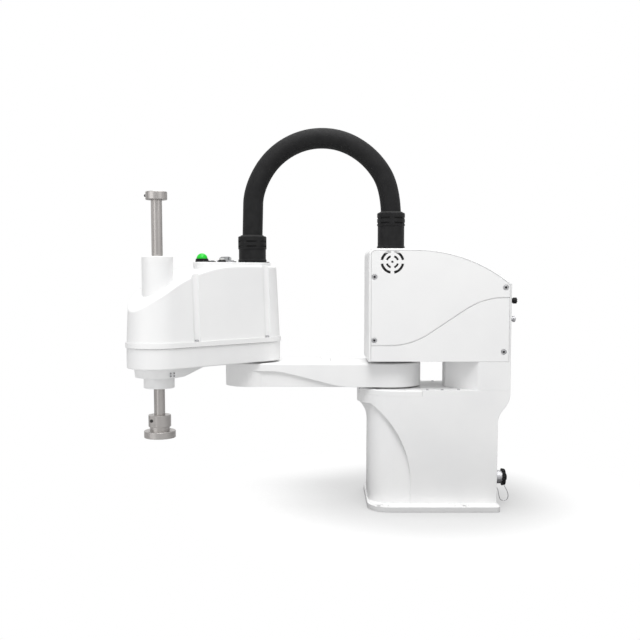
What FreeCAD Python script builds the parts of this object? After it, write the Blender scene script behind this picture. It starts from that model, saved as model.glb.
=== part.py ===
import FreeCAD, Part
import math
import os
import re
import Sketcher

# A four-axis selective-compliance arm: a low base with a tower over the first joint, an inner arm
# that turns between base and tower, an outer arm on top of it, and a ball-screw spline at the nose.
# The origin is on the mounting face under the first joint's axis. +X points forward, +Z up.

SIZES = {
    # reach and rest pose
    "arm1_length": 275,
    "arm2_length": 225,
    "nose_ahead": 4,
    "arm2_rest_angle": 44.7,
    "stroke_down": 100.5,
    "stroke_up": 49.5,
    "running_gap": 0.05,
    "seam_gap": 0.3,
    # foot
    "foot_front": 48.5,
    "foot_rear": 204,
    "foot_half_width": 112,
    "foot_thickness": 10,
    "foot_front_corner": 42,
    "foot_rear_corner": 8,
    "foot_bolt_front": 27.5,
    "foot_bolt_spacing": 165,
    "foot_bolt_half_width": 96,
    "foot_bolt_radius": 4.5,
    "foot_spot_radius": 9,
    "foot_spot_depth": 1,
    "foot_jack_inset": 18,
    "foot_jack_radius": 2.5,
    # column
    "body_half_width": 82,
    "column_front": 45,
    "column_rear": 202,
    "column_front_corner": 42,
    "column_wall": 10,
    "column_waist_half_width": 68,
    "column_top": 230.5,
    "collar_centre": 16,
    "collar_thickness": 11.5,
    "collar_rear": 56,
    "collar_lip": 17,
    "collar_bore": 50,
    "collar_bolt_shift": 6,
    "collar_head_depth": 4,
    "flare_height": 40,
    "flare_radius": 62.5,
    "scoop_foot_step": 0.8,
    "scoop_top_x": 41,
    "scoop_mid_x": 21,
    "scoop_mid_z": 121,
    "scoop_foot_x": 34,
    "scoop_foot_z": 39,
    "tail_start": 172,
    "tail_end": 218,
    "tail_rear": 225,
    # first joint
    "reducer1_radius": 48,
    "reducer1_depth": 38,
    "reducer1_sink": 2.5,
    "motor1_radius": 40,
    "motor1_length": 95,
    "output1_radius": 45,
    "output1_stub_radius": 20,
    "output1_stub_depth": 16,
    "hub_gap": 3.5,
    # inner arm
    "link1_height": 46,
    "hub1_radius": 60.5,
    "hub2_radius": 54.5,
    "link1_side_step": 5,
    "link1_wall": 9,
    "link1_edge": 3,
    "s_line_start": 74,
    "s_line_rise": 31,
    "s_line_slope": 14.5,
    "s_line_radius": 190,
    "bottom_cover_thickness": 2.5,
    "stop_block_place": 129,
    "stop_block_length": 21,
    "stop_block_width": 18,
    "stop_block_height": 8,
    # throat and tower
    "throat_top": 286,
    "neck_nose": 107.5,
    "neck_nose_half_width": 19,
    "neck_shoulder": 163.5,
    "neck_edge": 9,
    "tower_front": 48,
    "tower_height": 216,
    "tower_front_corner": 12,
    "tower_flat_end": 40,
    "tower_back_radius": 290,
    "tower_wall": 9,
    "tower_edge": 4,
    "tower_web": 6,
    "panel_thickness": 4,
    "panel_front_margin": 4.5,
    "panel_screw_inset": 11,
    "front_screw_drop": 54,
    "front_screw_rise": 41,
    "rear_screw_inset": 12,
    "rear_screw_drop": 74,
    "rear_screw_rise": 19,
    "panel_screw_sink": 2.5,
    "panel_screw_height": 2.2,
    "panel_post_radius": 7,
    "groove_start": 6,
    "groove_level": 316,
    "groove_rise": 91.5,
    "groove_slope": 33.7,
    "groove_radius": 130,
    "groove_width": 2.2,
    "groove_depth": 2,
    "vent_height": 25.5,
    "vent_forward": 3.3,
    "vent_outer_radius": 20.2,
    "vent_outer_slot": 4.8,
    "vent_outer_bridge": 20,
    "vent_inner_radius": 10.8,
    "vent_inner_slot": 3.8,
    "vent_inner_bridge": 36,
    "vent_centre_radius": 2.2,
    "cover_screw_radius": 2.5,
    "cover_screw_head": 4.6,
    "cover_screw_length": 13,
    # electronics in the tower
    "board_inset": 60,
    "board_rise": 24,
    "board_length": 140,
    "board_height": 100,
    "board_standoff": 8,
    "board_thickness": 1.6,
    "chip_width": 24,
    "supply_length": 130,
    "supply_height": 90,
    "supply_depth": 44,
    "fin_pitch": 13,
    "fin_height": 12,
    "fin_thickness": 4,
    # rear fittings
    "connector_plate_thickness": 2,
    "connector_plate_height": 96,
    "connector_plate_half_width": 55,
    "connector_plate_centre": 375,
    "upper_connector_level": 402,
    "lower_connector_level": 366,
    "rear_connector_offset": 35,
    "plug_flange_radius": 8,
    "plug_flange_height": 3,
    "plug_neck_radius": 4.5,
    "plug_neck_length": 9,
    "plug_ring_radius": 6,
    "upper_ring_length": 6.5,
    "lower_ring_length": 4,
    "base_connector_level": 54,
    "base_connector_offset": 45,
    "base_connector_radius": 13,
    "base_connector_length": 9.5,
    "base_flange_half_width": 16,
    "cap_radius": 17,
    "tether_radius": 0.8,
    "cap_length": 10.5,
    "cap_knob_radius": 5,
    "cap_knob_length": 3,
    # outer arm
    "arm_gap": 3.5,
    "tray_height": 37.2,
    "tray_radius": 54,
    "tray_floor": 8,
    "tray_wall": 6,
    "rim_height": 9.8,
    "rim_radius": 56,
    "seal_thickness": 0.5,
    "cover_height": 141.5,
    "cover_foot_radius": 53.5,
    "cover_top_radius": 47,
    "cover_wall": 3,
    "brow_place": -99,
    "brow_fall": 6,
    "shoulder_place": -43,
    "shoulder_fall": 22,
    "sleeve_place": -3,
    "sleeve_fall": 41,
    "nose_place": 33,
    "nose_fall": 66,
    "tip_place": 59,
    "tip_fall": 97,
    "flute_front": 177,
    "flute_rear": 7,
    "flute_radius": 8,
    "flute_screw_radius": 2,
    "sleeve_radius": 28.2,
    "sleeve_top": 470,
    "sleeve_cap_height": 15,
    "deck_thickness": 4,
    "deck_radius": 39,
    "deck_front_radius": 22,
    "deck_front": 118,
    "deck_rear": 4,
    "boss_radius": 45,
    "boss_depth": 16.8,
    "boss_fairing_place": 125,
    "boss_fairing_radius": 16,
    # second joint
    "pivot2_radius": 30,
    "pivot2_stub_radius": 20,
    "reducer2_radius": 42,
    "reducer2_height": 24.5,
    "motor2_width": 60,
    "motor2_length": 104,
    # screw and spline
    "shaft_radius": 10,
    "shaft_bottom": 154.5,
    "shaft_groove_radius": 1.2,
    "shaft_groove_turn": 23,
    "nut_flange_radius": 28,
    "nut_flange_height": 19,
    "nut_flange_gap": 1.5,
    "nut_radius": 18,
    "bearing_radius": 27,
    "bearing_height": 18,
    "bearing_lip": 3.3,
    "pulley_radius": 24,
    "pulley_height": 14,
    "belt_thickness": 1.6,
    "belt_width": 12,
    "screw_pulley_level": 368,
    "nut_housing_thickness": 10,
    "nut_housing_radius": 32,
    "nut_post_offset": 36,
    "nut_post_radius": 5,
    "screw_nut_height": 24,
    "motor3_place": 135,
    "motor3_offset": 22,
    "motor3_pulley_radius": 8,
    "motor3_length": 54,
    "motor4_offset": 24,
    "motor4_pulley_radius": 12,
    "motor4_length": 64,
    "small_motor_width": 42,
    "mount_plate": 5,
    "mount_post_radius": 4,
    # tool end
    "collar_radius": 19.5,
    "collar_height": 14.5,
    "tool_flange_radius": 28.75,
    "tool_flange_height": 12.5,
    "tool_hub_radius": 20.5,
    "tool_hub_height": 21.5,
    "tool_bolt_circle": 45,
    "tool_bolt_radius": 2.25,
    "clamp_slit": 1.5,
    "lug_start": 4,
    "lug_face": 14.5,
    # deck fittings
    "lamp_place": 124.5,
    "lamp_radius": 10.5,
    "lamp_base_height": 4,
    "signal_place": 64,
    "signal_across": 6,
    "signal_plate_length": 36,
    "signal_plate_width": 16,
    "signal_plate_height": 4,
    "signal_shell_height": 6,
    "air_hexagon": 6,
    "air_hexagon_height": 5,
    "air_body_radius": 4.6,
    "air_height": 12,
    "button_place": 88,
    "button_radius": 5,
    "button_travel": 3,
    "button_proud": 4,
    # hose
    "hose_radius": 19.5,
    "socket_gap": 0.6,
    "socket_depth": 18,
    "window_width": 19,
    "window_height": 3.2,
    "window_bar": 6.5,
    "window_drop": 8.8,
    "window_depth": 3,
    "rear_fitting_radius": 27.5,
    "rear_fitting_height": 72,
    "front_fitting_radius": 28,
    "front_fitting_height": 52,
}

doc = FreeCAD.newDocument("scara_robot")
sheet = doc.addObject("Spreadsheet::Sheet", "sizes")
for row, (alias, value) in enumerate(SIZES.items(), 1):
    sheet.set(f"A{row}", alias)
    sheet.set(f"B{row}", str(value))
    sheet.setAlias(f"B{row}", alias)
doc.recompute()

NODES = []


def bound(text):
    """The text as an expression, with each size written as its cell of the sheet."""
    return re.sub(r"[a-z][a-z0-9_]*", lambda word: f"sizes.{word[0]}" if word[0] in SIZES else word[0], text)


def number(text):
    """What an expression of sizes comes to now."""
    found = sheet.evalExpression(bound(text))
    return float(getattr(found, "Value", found))


def point(x, y, z=0.0):
    return FreeCAD.Vector(x, y, z)


def node(thing, label):
    """Marks an object of the document as one finished piece."""
    thing.Label = label
    NODES.append(thing)
    return thing


def place(thing, x="0", y="0", z="0"):
    """Puts an object at a point of the row frame."""
    for axis, text in zip("xyz", (x, y, z)):
        thing.setExpression(f"Placement.Base.{axis}", bound(text))


def place_on_arm2(thing, along="0", across="0", z="0"):
    """Puts an object in the outer arm's frame, which starts at the second joint and is turned with it."""
    turn = "arm2_rest_angle"
    thing.Placement = FreeCAD.Placement(point(0, 0), FreeCAD.Rotation(point(0, 0, 1), number(turn)))
    place(
        thing,
        f"arm1_length + ({along}) * cos({turn}) - ({across}) * sin({turn})",
        f"({along}) * sin({turn}) + ({across}) * cos({turn})",
        z,
    )
    thing.setExpression("Placement.Rotation.Angle", bound(turn))


class Drawing:
    """A sketch on one of a body's own planes, whose points are tied to the sheet."""

    def __init__(self, body, name, plane="XY_Plane", level="0"):
        self.sketch = body.newObject("Sketcher::SketchObject", name)
        support = [f for f in body.Origin.OriginFeatures if f.Role == plane][0]
        self.sketch.AttachmentSupport = (support, [""])
        self.sketch.MapMode = "FlatFace"
        self.sketch.setExpression("AttachmentOffset.Base.z", bound(level))

    def tie(self, kind, text, *where):
        place_in_list = self.sketch.addConstraint(Sketcher.Constraint(kind, *where, number(text)))
        self.sketch.setExpression(f"Constraints[{place_in_list}]", bound(text))

    def polygon(self, *corners):
        first = self.sketch.GeometryCount
        spots = [point(number(x), number(y)) for x, y in corners]
        for here, there in zip(spots, spots[1:] + spots[:1]):
            self.sketch.addGeometry(Part.LineSegment(here, there))
        for i, (x, y) in enumerate(corners):
            line, after = first + i, first + (i + 1) % len(corners)
            self.sketch.addConstraint(Sketcher.Constraint("Coincident", line, 2, after, 1))
            self.tie("DistanceX", x, -1, 1, line, 1)
            self.tie("DistanceY", y, -1, 1, line, 1)
        return self

    def rectangle(self, left, right, low, high):
        return self.polygon((left, low), (right, low), (right, high), (left, high))

    def circle(self, radius, x="0", y="0"):
        ring = Part.Circle(point(number(x), number(y)), point(0, 0, 1), number(radius))
        line = self.sketch.addGeometry(ring)
        self.tie("DistanceX", x, -1, 1, line, 3)
        self.tie("DistanceY", y, -1, 1, line, 3)
        self.tie("Radius", radius, line)
        return self

    def hull(self, radius1, x1, radius2, x2, y1="0", y2="0"):
        """The outline round two circles, with straight tangents between them."""
        big, small = number(radius1), number(radius2)
        start, end = point(number(x1), number(y1)), point(number(x2), number(y2))
        heading = math.atan2(end.y - start.y, end.x - start.x)
        lean = math.acos((big - small) / start.distanceToPoint(end))
        up, down = heading + lean, heading - lean
        around1 = Part.ArcOfCircle(Part.Circle(start, point(0, 0, 1), big), up, down + 2 * math.pi)
        around2 = Part.ArcOfCircle(Part.Circle(end, point(0, 0, 1), small), down, up)
        arc1 = self.sketch.addGeometry(around1)
        low = self.sketch.addGeometry(Part.LineSegment(around1.EndPoint, around2.StartPoint))
        arc2 = self.sketch.addGeometry(around2)
        high = self.sketch.addGeometry(Part.LineSegment(around2.EndPoint, around1.StartPoint))
        for here, there in ((arc1, low), (low, arc2), (arc2, high), (high, arc1)):
            self.sketch.addConstraint(Sketcher.Constraint("Tangent", here, 2, there, 1))
        for arc, x, y, radius in ((arc1, x1, y1, radius1), (arc2, x2, y2, radius2)):
            self.tie("DistanceX", x, -1, 1, arc, 3)
            self.tie("DistanceY", y, -1, 1, arc, 3)
            self.tie("Radius", radius, arc)
        return self


class Piece:
    """One body of the document, which becomes one node."""

    def __init__(self, label):
        self.body = node(doc.addObject("PartDesign::Body", label), label)
        self.label = label
        self.made = 0

    def name(self, what):
        self.made += 1
        return f"{self.label}_{what}_{self.made}"

    def draw(self, plane="XY_Plane", level="0"):
        return Drawing(self.body, self.name("sketch"), plane, level)

    def feature(self, kind, drawing, **ties):
        made = self.body.newObject(f"PartDesign::{kind}", self.name(kind.lower()))
        made.Profile = drawing.sketch
        for prop, text in ties.items():
            made.setExpression(prop, bound(text))
        return made

    def pad(self, drawing, length, down=False, both=False):
        made = self.feature("Pad", drawing, Length=length)
        made.Reversed = down
        if both:
            made.SideType = "Symmetric"
        return made

    def pocket(self, drawing, length, up=True, both=False):
        """Takes the drawing out of the body, upwards from its plane unless told otherwise."""
        doc.recompute()
        before = self.body.Shape.Volume
        made = self.feature("Pocket", drawing, Length=length)
        made.Reversed = up
        if both:
            made.SideType = "Symmetric"
        doc.recompute()
        if self.body.Shape.Volume > before - 0.1:
            raise RuntimeError(f"{made.Name} cuts nothing")
        return made

    def repeat_round(self, feature, count):
        """Repeats a feature round the body's upright axis."""
        pattern = self.body.newObject("PartDesign::PolarPattern", self.name("ring"))
        pattern.Originals = [feature]
        axis = [f for f in self.body.Origin.OriginFeatures if f.Role == "Z_Axis"][0]
        pattern.Axis = (axis, [""])
        pattern.Angle = 360
        pattern.Occurrences = count
        self.body.Tip = pattern
        return pattern

    def turn(self, drawing):
        made = self.feature("Revolution", drawing)
        made.ReferenceAxis = (drawing.sketch, ["V_Axis"])
        made.Angle = 360
        return made

    def loft(self, drawing, *others):
        made = self.feature("AdditiveLoft", drawing)
        made.Sections = [other.sketch for other in others]
        return made

    def edge_work(self, kind, prop, text, wanted):
        doc.recompute()
        base = self.body.Tip
        names = [f"Edge{i}" for i, edge in enumerate(base.Shape.Edges, 1) if wanted(edge)]
        if not names:
            raise RuntimeError(f"{self.label} has no such edge for its {kind}")
        made = self.body.newObject(f"PartDesign::{kind}", self.name(kind.lower()))
        made.Base = (base, names)
        made.setExpression(prop, bound(text))
        return made

    def round(self, radius, wanted):
        return self.edge_work("Fillet", "Radius", radius, wanted)

    def bevel(self, size, wanted):
        return self.edge_work("Chamfer", "Size", size, wanted)


def upright(edge):
    """An edge that runs along Z."""
    if len(edge.Vertexes) < 2 or edge.Curve.TypeId != "Part::GeomLine":
        return False
    span = edge.Vertexes[1].Point - edge.Vertexes[0].Point
    return abs(span.z) > 0.999 * span.Length


def at_level(text):
    """A test for edges that lie flat at one height."""
    level = number(text)
    return lambda edge: abs(edge.BoundBox.ZMin - level) < 0.01 and abs(edge.BoundBox.ZMax - level) < 0.01


def turned(label, *profile):
    """A piece turned on a lathe: its profile's corners are radius and height."""
    piece = Piece(label)
    piece.turn(piece.draw("XZ_Plane").polygon(*profile))
    return piece


def shaped(label, shape, on_arm2=False):
    """A piece whose solid is worked out below from the sheet's sizes."""
    made = node(doc.addObject("Part::Feature", label), label)
    merged = shape.removeSplitter()
    made.Shape = merged if merged.isValid() else shape
    if on_arm2:
        place_on_arm2(made)
    return made


def cylinder(radius, low, high, x=0.0, y=0.0):
    return Part.makeCylinder(radius, high - low, point(x, y, low))


def block(left, right, back, front, low, high):
    return Part.makeBox(right - left, front - back, high - low, point(left, back, low))


def prism(wire, direction):
    return Part.Face(wire).extrude(direction)


def hull_wire(radius1, x1, radius2, x2, z, y1=0.0, y2=0.0):
    """The closed line round two circles at one height."""
    start, end = point(x1, y1), point(x2, y2)
    heading = math.atan2(y2 - y1, x2 - x1)
    lean = math.acos((radius1 - radius2) / start.distanceToPoint(end))

    def spot(centre, radius, angle):
        return point(centre.x + radius * math.cos(angle), centre.y + radius * math.sin(angle), z)

    up, down = heading + lean, heading - lean
    a, b = spot(start, radius1, up), spot(start, radius1, down)
    c, d = spot(end, radius2, down), spot(end, radius2, up)
    back = Part.Arc(a, spot(start, radius1, heading + math.pi), b).toShape()
    nose = Part.Arc(c, spot(end, radius2, heading), d).toShape()
    return Part.Wire([back, Part.makeLine(b, c), nose, Part.makeLine(d, a)])


def s_curve(x, z, towards, run_before, run_after, radius, slope, rise):
    """A level line, a soft rise at the given slope, and a level line again, in the XZ plane."""
    angle = math.radians(slope)
    lift = radius * (1 - math.cos(angle))
    reach = radius * math.sin(angle)
    half, half_lift = radius * math.sin(angle / 2), radius * (1 - math.cos(angle / 2))
    middle = (rise - 2 * lift) / math.tan(angle)

    def spot(across, up):
        return point(x + towards * across, 0, z + up)

    first, last = spot(0, 0), spot(2 * reach + middle, rise)
    foot, head = spot(reach, lift), spot(reach + middle, rise - lift)
    return Part.Wire(
        [
            Part.makeLine(spot(-run_before, 0), first),
            Part.Arc(first, spot(half, half_lift), foot).toShape(),
            Part.makeLine(foot, head),
            Part.Arc(head, spot(2 * reach + middle - half, rise - half_lift), last).toShape(),
            Part.makeLine(last, spot(2 * reach + middle + run_after, rise)),
        ]
    )


def screw(radius, head_radius, head_height, length, x, y, z, direction):
    """A socket-head screw: its head stands on the seat at the given point and its shank goes in."""
    axis = FreeCAD.Vector(direction)
    seat = point(x, y, z)
    head = Part.makeCylinder(head_radius, head_height, seat, axis)
    socket = Part.makeCylinder(head_radius * 0.5, head_height * 0.6, seat + axis * head_height * 0.4, axis)
    shank = Part.makeCylinder(radius, length, seat - axis * length, axis)
    return head.cut(socket).fuse(shank).removeSplitter()


# Heights that several pieces share
LINK1_BOTTOM = "column_top + hub_gap"
LINK1_TOP = f"{LINK1_BOTTOM} + link1_height"
TRAY_BOTTOM = f"{LINK1_TOP} + arm_gap"
TRAY_FLOOR = f"{TRAY_BOTTOM} + tray_floor"
TRAY_TOP = f"{TRAY_BOTTOM} + tray_height"
RIM_TOP = f"{TRAY_TOP} + rim_height"
COVER_TOP = f"{RIM_TOP} + cover_height"
NOSE = "arm2_length + nose_ahead"
DECK_TOP = f"{COVER_TOP} + deck_thickness"
TOWER_TOP = "throat_top + tower_height"
COLLAR_BOTTOM = "column_top - collar_thickness"


# Base casting: the foot, the column with its scooped flanks, and the tail that sweeps back


def d_shape(radius, rear, low, high):
    """The column's plan: a straight back and a round front about the collar's centre."""
    centre = -number("collar_centre")
    box = block(-rear, centre, -radius, radius, low, high)
    room = block(-rear, centre + radius, -radius, radius, low, high)
    return box.fuse(cylinder(radius, low, high, centre).common(room))


def waist(half_width, z):
    """The column's narrower plan at one height, with round front corners."""
    front, rear = number("column_front"), -number("column_rear")
    corner = min(number("column_front_corner"), half_width - 1)
    turn = corner * math.sqrt(0.5)
    middle = point(front - corner, half_width - corner, z)
    a, b = point(rear, -half_width, z), point(front - corner, -half_width, z)
    c, d = point(front, corner - half_width, z), point(front, half_width - corner, z)
    e, f = point(front - corner, half_width, z), point(rear, half_width, z)
    right = Part.Arc(b, point(middle.x + turn, -middle.y - turn, z), c).toShape()
    left = Part.Arc(d, point(middle.x + turn, middle.y + turn, z), e).toShape()
    side, rear_line = Part.makeLine(e, f), Part.makeLine(f, a)
    return Part.Wire([Part.makeLine(a, b), right, Part.makeLine(c, d), left, side, rear_line])


def foot():
    thick, half = number("foot_thickness"), number("foot_half_width")
    front, rear = number("foot_front"), -number("foot_rear")
    plate = block(rear, front, -half, half, 0, thick)
    corners = [e for e in plate.Edges if upright(e)]
    fronts = [e for e in corners if e.BoundBox.XMax > 0]
    rears = [e for e in corners if e.BoundBox.XMax < 0]
    plate = plate.makeFillet(number("foot_front_corner"), fronts)
    rears = [e for e in plate.Edges if upright(e) and e.BoundBox.XMax < rear + 1]
    plate = plate.makeFillet(number("foot_rear_corner"), rears)
    for y in (-number("foot_bolt_half_width"), number("foot_bolt_half_width")):
        for x in (number("foot_bolt_front"), number("foot_bolt_front - foot_bolt_spacing")):
            inward = 1 if x < number("foot_bolt_front") else -1
            jack = x + inward * number("foot_jack_inset")
            spot = thick - number("foot_spot_depth")
            plate = plate.cut(cylinder(number("foot_bolt_radius"), -1, thick + 1, x, y))
            plate = plate.cut(cylinder(number("foot_spot_radius"), spot, thick + 1, x, y))
            plate = plate.cut(cylinder(number("foot_jack_radius"), -1, thick + 1, jack, y))
    return plate


def column():
    wide, low = number("body_half_width"), number("foot_thickness")
    top, seat = number("column_top"), number(COLLAR_BOTTOM)
    lip = seat - number("collar_lip")
    full = d_shape(wide, number("column_rear"), low, seat)
    crease = Part.Arc(
        point(number("scoop_top_x"), -wide - 1, lip),
        point(-number("scoop_mid_x"), -wide - 1, number("scoop_mid_z")),
        point(-number("scoop_foot_x"), -wide - 1, number("scoop_foot_z")),
    ).toShape()
    foot_spot = crease.Vertexes[1].Point
    bottom = point(foot_spot.x, foot_spot.y, low)
    far = number("foot_front") + wide
    scoop_edge = Part.Wire(
        [
            crease,
            Part.makeLine(foot_spot, bottom),
            Part.makeLine(bottom, point(far, foot_spot.y, low)),
            Part.makeLine(point(far, foot_spot.y, low), point(far, foot_spot.y, lip)),
            Part.makeLine(point(far, foot_spot.y, lip), crease.Vertexes[0].Point),
        ]
    )
    scoop = prism(scoop_edge, point(0, 2 * wide + 2, 0))
    low_waist = waist(wide - number("scoop_foot_step"), low)
    narrow = Part.makeLoft([low_waist, waist(number("column_waist_half_width"), seat)], True, True)
    centre = -number("collar_centre")
    flare = number("flare_height")
    inner, outer = number("flare_radius"), wide - 2
    start, end = point(inner, 0, lip - flare), point(outer, 0, lip)
    hollow = point(inner + 0.28 * (outer - inner), 0, lip - 0.42 * flare)
    side = Part.Wire(
        [
            Part.makeLine(point(0, 0, lip - flare), start),
            Part.Arc(start, hollow, end).toShape(),
            Part.makeLine(end, point(0, 0, lip)),
            Part.makeLine(point(0, 0, lip), point(0, 0, lip - flare)),
        ]
    )
    bell = Part.Face(side).revolve(point(0, 0), point(0, 0, 1), 360)
    bell.translate(point(centre, 0))
    inside = narrow.fuse(bell).common(scoop)
    body = full.cut(scoop).fuse(inside)
    rear_top = block(-number("column_rear"), -number("collar_rear"), -wide, wide, seat - 1, top)
    return body.fuse(rear_top)


def tail():
    """The back of the column, which sweeps out to the tower's depth."""
    wide = number("body_half_width")
    rear, back = -number("column_rear"), -number("tail_rear")
    low, high, top = number("tail_start"), number("tail_end"), number("column_top")
    middle = point((rear + back) / 2, -wide, (low + high) / 2)
    bow = (high - low) * 0.04
    first = Part.Arc(
        point(rear, -wide, low - 14), point((rear + middle.x) / 2 + bow, -wide, (low + middle.z) / 2), middle
    ).toShape()
    second = Part.Arc(
        middle, point((back + middle.x) / 2 - bow, -wide, (high + middle.z) / 2), point(back, -wide, high + 8)
    ).toShape()
    inner = rear + number("column_wall")
    edge = Part.Wire(
        [
            Part.makeLine(point(inner, -wide, low - 14), point(rear, -wide, low - 14)),
            first,
            second,
            Part.makeLine(point(back, -wide, high + 8), point(back, -wide, top)),
            Part.makeLine(point(back, -wide, top), point(inner, -wide, top)),
            Part.makeLine(point(inner, -wide, top), point(inner, -wide, low - 14)),
        ]
    )
    return prism(edge, point(0, 2 * wide, 0))


def base_casting():
    body = foot().fuse([column(), tail()])
    wall, top = number("column_wall"), number("column_top")
    shelf = number("column_top - reducer1_sink - reducer1_depth")
    half = number("column_waist_half_width") - wall
    rear, front = -number("column_rear") + wall, number("column_front") - wall
    room = block(rear, front, -half, half, wall, shelf - wall)
    corners = [e for e in room.Edges if upright(e) and e.BoundBox.XMin > rear + 1]
    body = body.cut(room.makeFillet(number("column_front_corner - column_wall"), corners))
    motor_low = shelf - number("motor1_length + seam_gap")
    body = body.cut(cylinder(number("motor1_radius + seam_gap"), motor_low, shelf + 1))
    body = body.cut(cylinder(number("reducer1_radius + seam_gap"), shelf, top + 1))
    radius, low = number("cover_screw_radius + seam_gap"), number(COLLAR_BOTTOM) - 12
    return body.cut([cylinder(radius, low, top + 1, x, y) for x, y in collar_bolts()])


def collar_bolts():
    """Where the collar's screws stand: round the front of the first joint."""
    reach, back = number("(collar_bore + body_half_width) / 2 + 2"), number("collar_bolt_shift")
    turns = [math.radians(degrees) for degrees in (-105, -60, -20, 20, 60, 105)]
    return [(reach * math.cos(turn) - back, reach * math.sin(turn)) for turn in turns]


shaped("base_casting", base_casting())


# Collar over the base: the ring-shaped cap that the inner arm turns above
def collar_cover():
    low, top, gap = number(COLLAR_BOTTOM), number("column_top"), number("seam_gap")
    cap = d_shape(number("body_half_width"), number("collar_rear") - gap, low, top)
    cap = cap.cut(cylinder(number("collar_bore"), low - 1, top + 1))
    flat, sink = at_level("column_top"), number("collar_head_depth")
    outer = [e for e in cap.Edges if flat(e) and e.BoundBox.XMax > number("collar_bore") + 5]
    cap = cap.makeChamfer(2, outer)
    for x, y in collar_bolts():
        cap = cap.cut(cylinder(number("cover_screw_radius + seam_gap"), low - 1, top + 1, x, y))
        cap = cap.cut(cylinder(number("cover_screw_head + seam_gap"), top - sink, top + 1, x, y))
    return cap


shaped("j1_collar_cover", collar_cover())
radius, head = number("cover_screw_radius"), number("cover_screw_head")
seat_level = number("column_top - collar_head_depth")
screws = [screw(radius, head, 3, 14, x, y, seat_level, (0, 0, 1)) for x, y in collar_bolts()]
shaped("j1_collar_screws", Part.makeCompound(screws))


# First joint's drive: a closed reducer in the base with its motor hanging below
REDUCER1_TOP = "column_top - reducer1_sink"
REDUCER1_BOTTOM = f"{REDUCER1_TOP} - reducer1_depth"
turned(
    "j1_reducer",
    ("0", REDUCER1_BOTTOM),
    ("reducer1_radius", REDUCER1_BOTTOM),
    ("reducer1_radius", REDUCER1_TOP),
    ("output1_stub_radius + running_gap", REDUCER1_TOP),
    ("output1_stub_radius + running_gap", f"{REDUCER1_TOP} - output1_stub_depth - seam_gap"),
    ("0", f"{REDUCER1_TOP} - output1_stub_depth - seam_gap"),
)
turned(
    "j1_motor",
    ("0", f"{REDUCER1_BOTTOM} - motor1_length"),
    ("motor1_radius - 4", f"{REDUCER1_BOTTOM} - motor1_length"),
    ("motor1_radius - 4", f"{REDUCER1_BOTTOM} - motor1_length + 26"),
    ("motor1_radius", f"{REDUCER1_BOTTOM} - motor1_length + 26"),
    ("motor1_radius", REDUCER1_BOTTOM),
    ("0", REDUCER1_BOTTOM),
)
turned(
    "j1_output_flange",
    ("0", f"{REDUCER1_TOP} - output1_stub_depth"),
    ("output1_stub_radius", f"{REDUCER1_TOP} - output1_stub_depth"),
    ("output1_stub_radius", f"{REDUCER1_TOP} + seam_gap"),
    ("output1_radius", f"{REDUCER1_TOP} + seam_gap"),
    ("output1_radius", LINK1_BOTTOM),
    ("0", LINK1_BOTTOM),
)


# Neck: the wedge-nosed pillar that carries the tower behind the inner arm
neck = Piece("neck_casting")
outline = neck.draw(level="column_top")
outline.polygon(
    ("-tail_rear", "-body_half_width"),
    ("-neck_shoulder", "-body_half_width"),
    ("-neck_nose", "-neck_nose_half_width"),
    ("-neck_nose", "neck_nose_half_width"),
    ("-neck_shoulder", "body_half_width"),
    ("-tail_rear", "body_half_width"),
)
neck.pad(outline, "throat_top - column_top")
neck.round("neck_edge", lambda e: upright(e) and e.BoundBox.XMin > number("-neck_shoulder - 1"))


# Tower: a cast frame with a web down its middle, closed by a cover on each side


def tower_wire(front, top, rear, bottom, y):
    """The tower's outline seen from the side, drawn in by the given margins."""
    x_front, x_rear = number("tower_front") - front, -number("tail_rear") + rear
    ceiling, flat = number(TOWER_TOP) - top, -number("tower_flat_end")
    radius = number("tower_back_radius") - top
    centre = ceiling - radius
    corner = max(number("tower_front_corner") - min(front, top), 1.0)
    drop = math.sqrt(radius**2 - (x_rear - flat) ** 2)
    half = math.asin((flat - x_rear) / radius) / 2
    turn = corner * (1 - math.sqrt(0.5))
    a, b = point(x_front, y, bottom), point(x_front, y, ceiling - corner)
    c, d = point(x_front - corner, y, ceiling), point(flat, y, ceiling)
    e, f = point(x_rear, y, centre + drop), point(x_rear, y, bottom)
    bend = Part.Arc(b, point(x_front - turn, y, ceiling - turn), c).toShape()
    crown = point(flat - radius * math.sin(half), y, centre + radius * math.cos(half))
    back = Part.Arc(d, crown, e).toShape()
    front_line, top_line = Part.makeLine(a, b), Part.makeLine(c, d)
    rear_line, bottom_line = Part.makeLine(e, f), Part.makeLine(f, a)
    return Part.Wire([front_line, bend, top_line, back, rear_line, bottom_line])


def panel_wire(gap, y):
    margin = number("tower_edge") + gap
    return tower_wire(number("panel_front_margin") + gap, margin, margin, number("throat_top") + gap, y)


def panel_screws():
    """Where a side cover's four screws stand, as x and z."""
    front, rear = number("tower_front - panel_screw_inset"), -number("tail_rear")
    high, low = number(TOWER_TOP), number("throat_top")
    return [
        (front, high - number("front_screw_drop")),
        (front, low + number("front_screw_rise")),
        (rear + number("rear_screw_inset"), high - number("rear_screw_drop")),
        (rear + number("rear_screw_inset") + 2, low + number("rear_screw_rise")),
    ]


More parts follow.
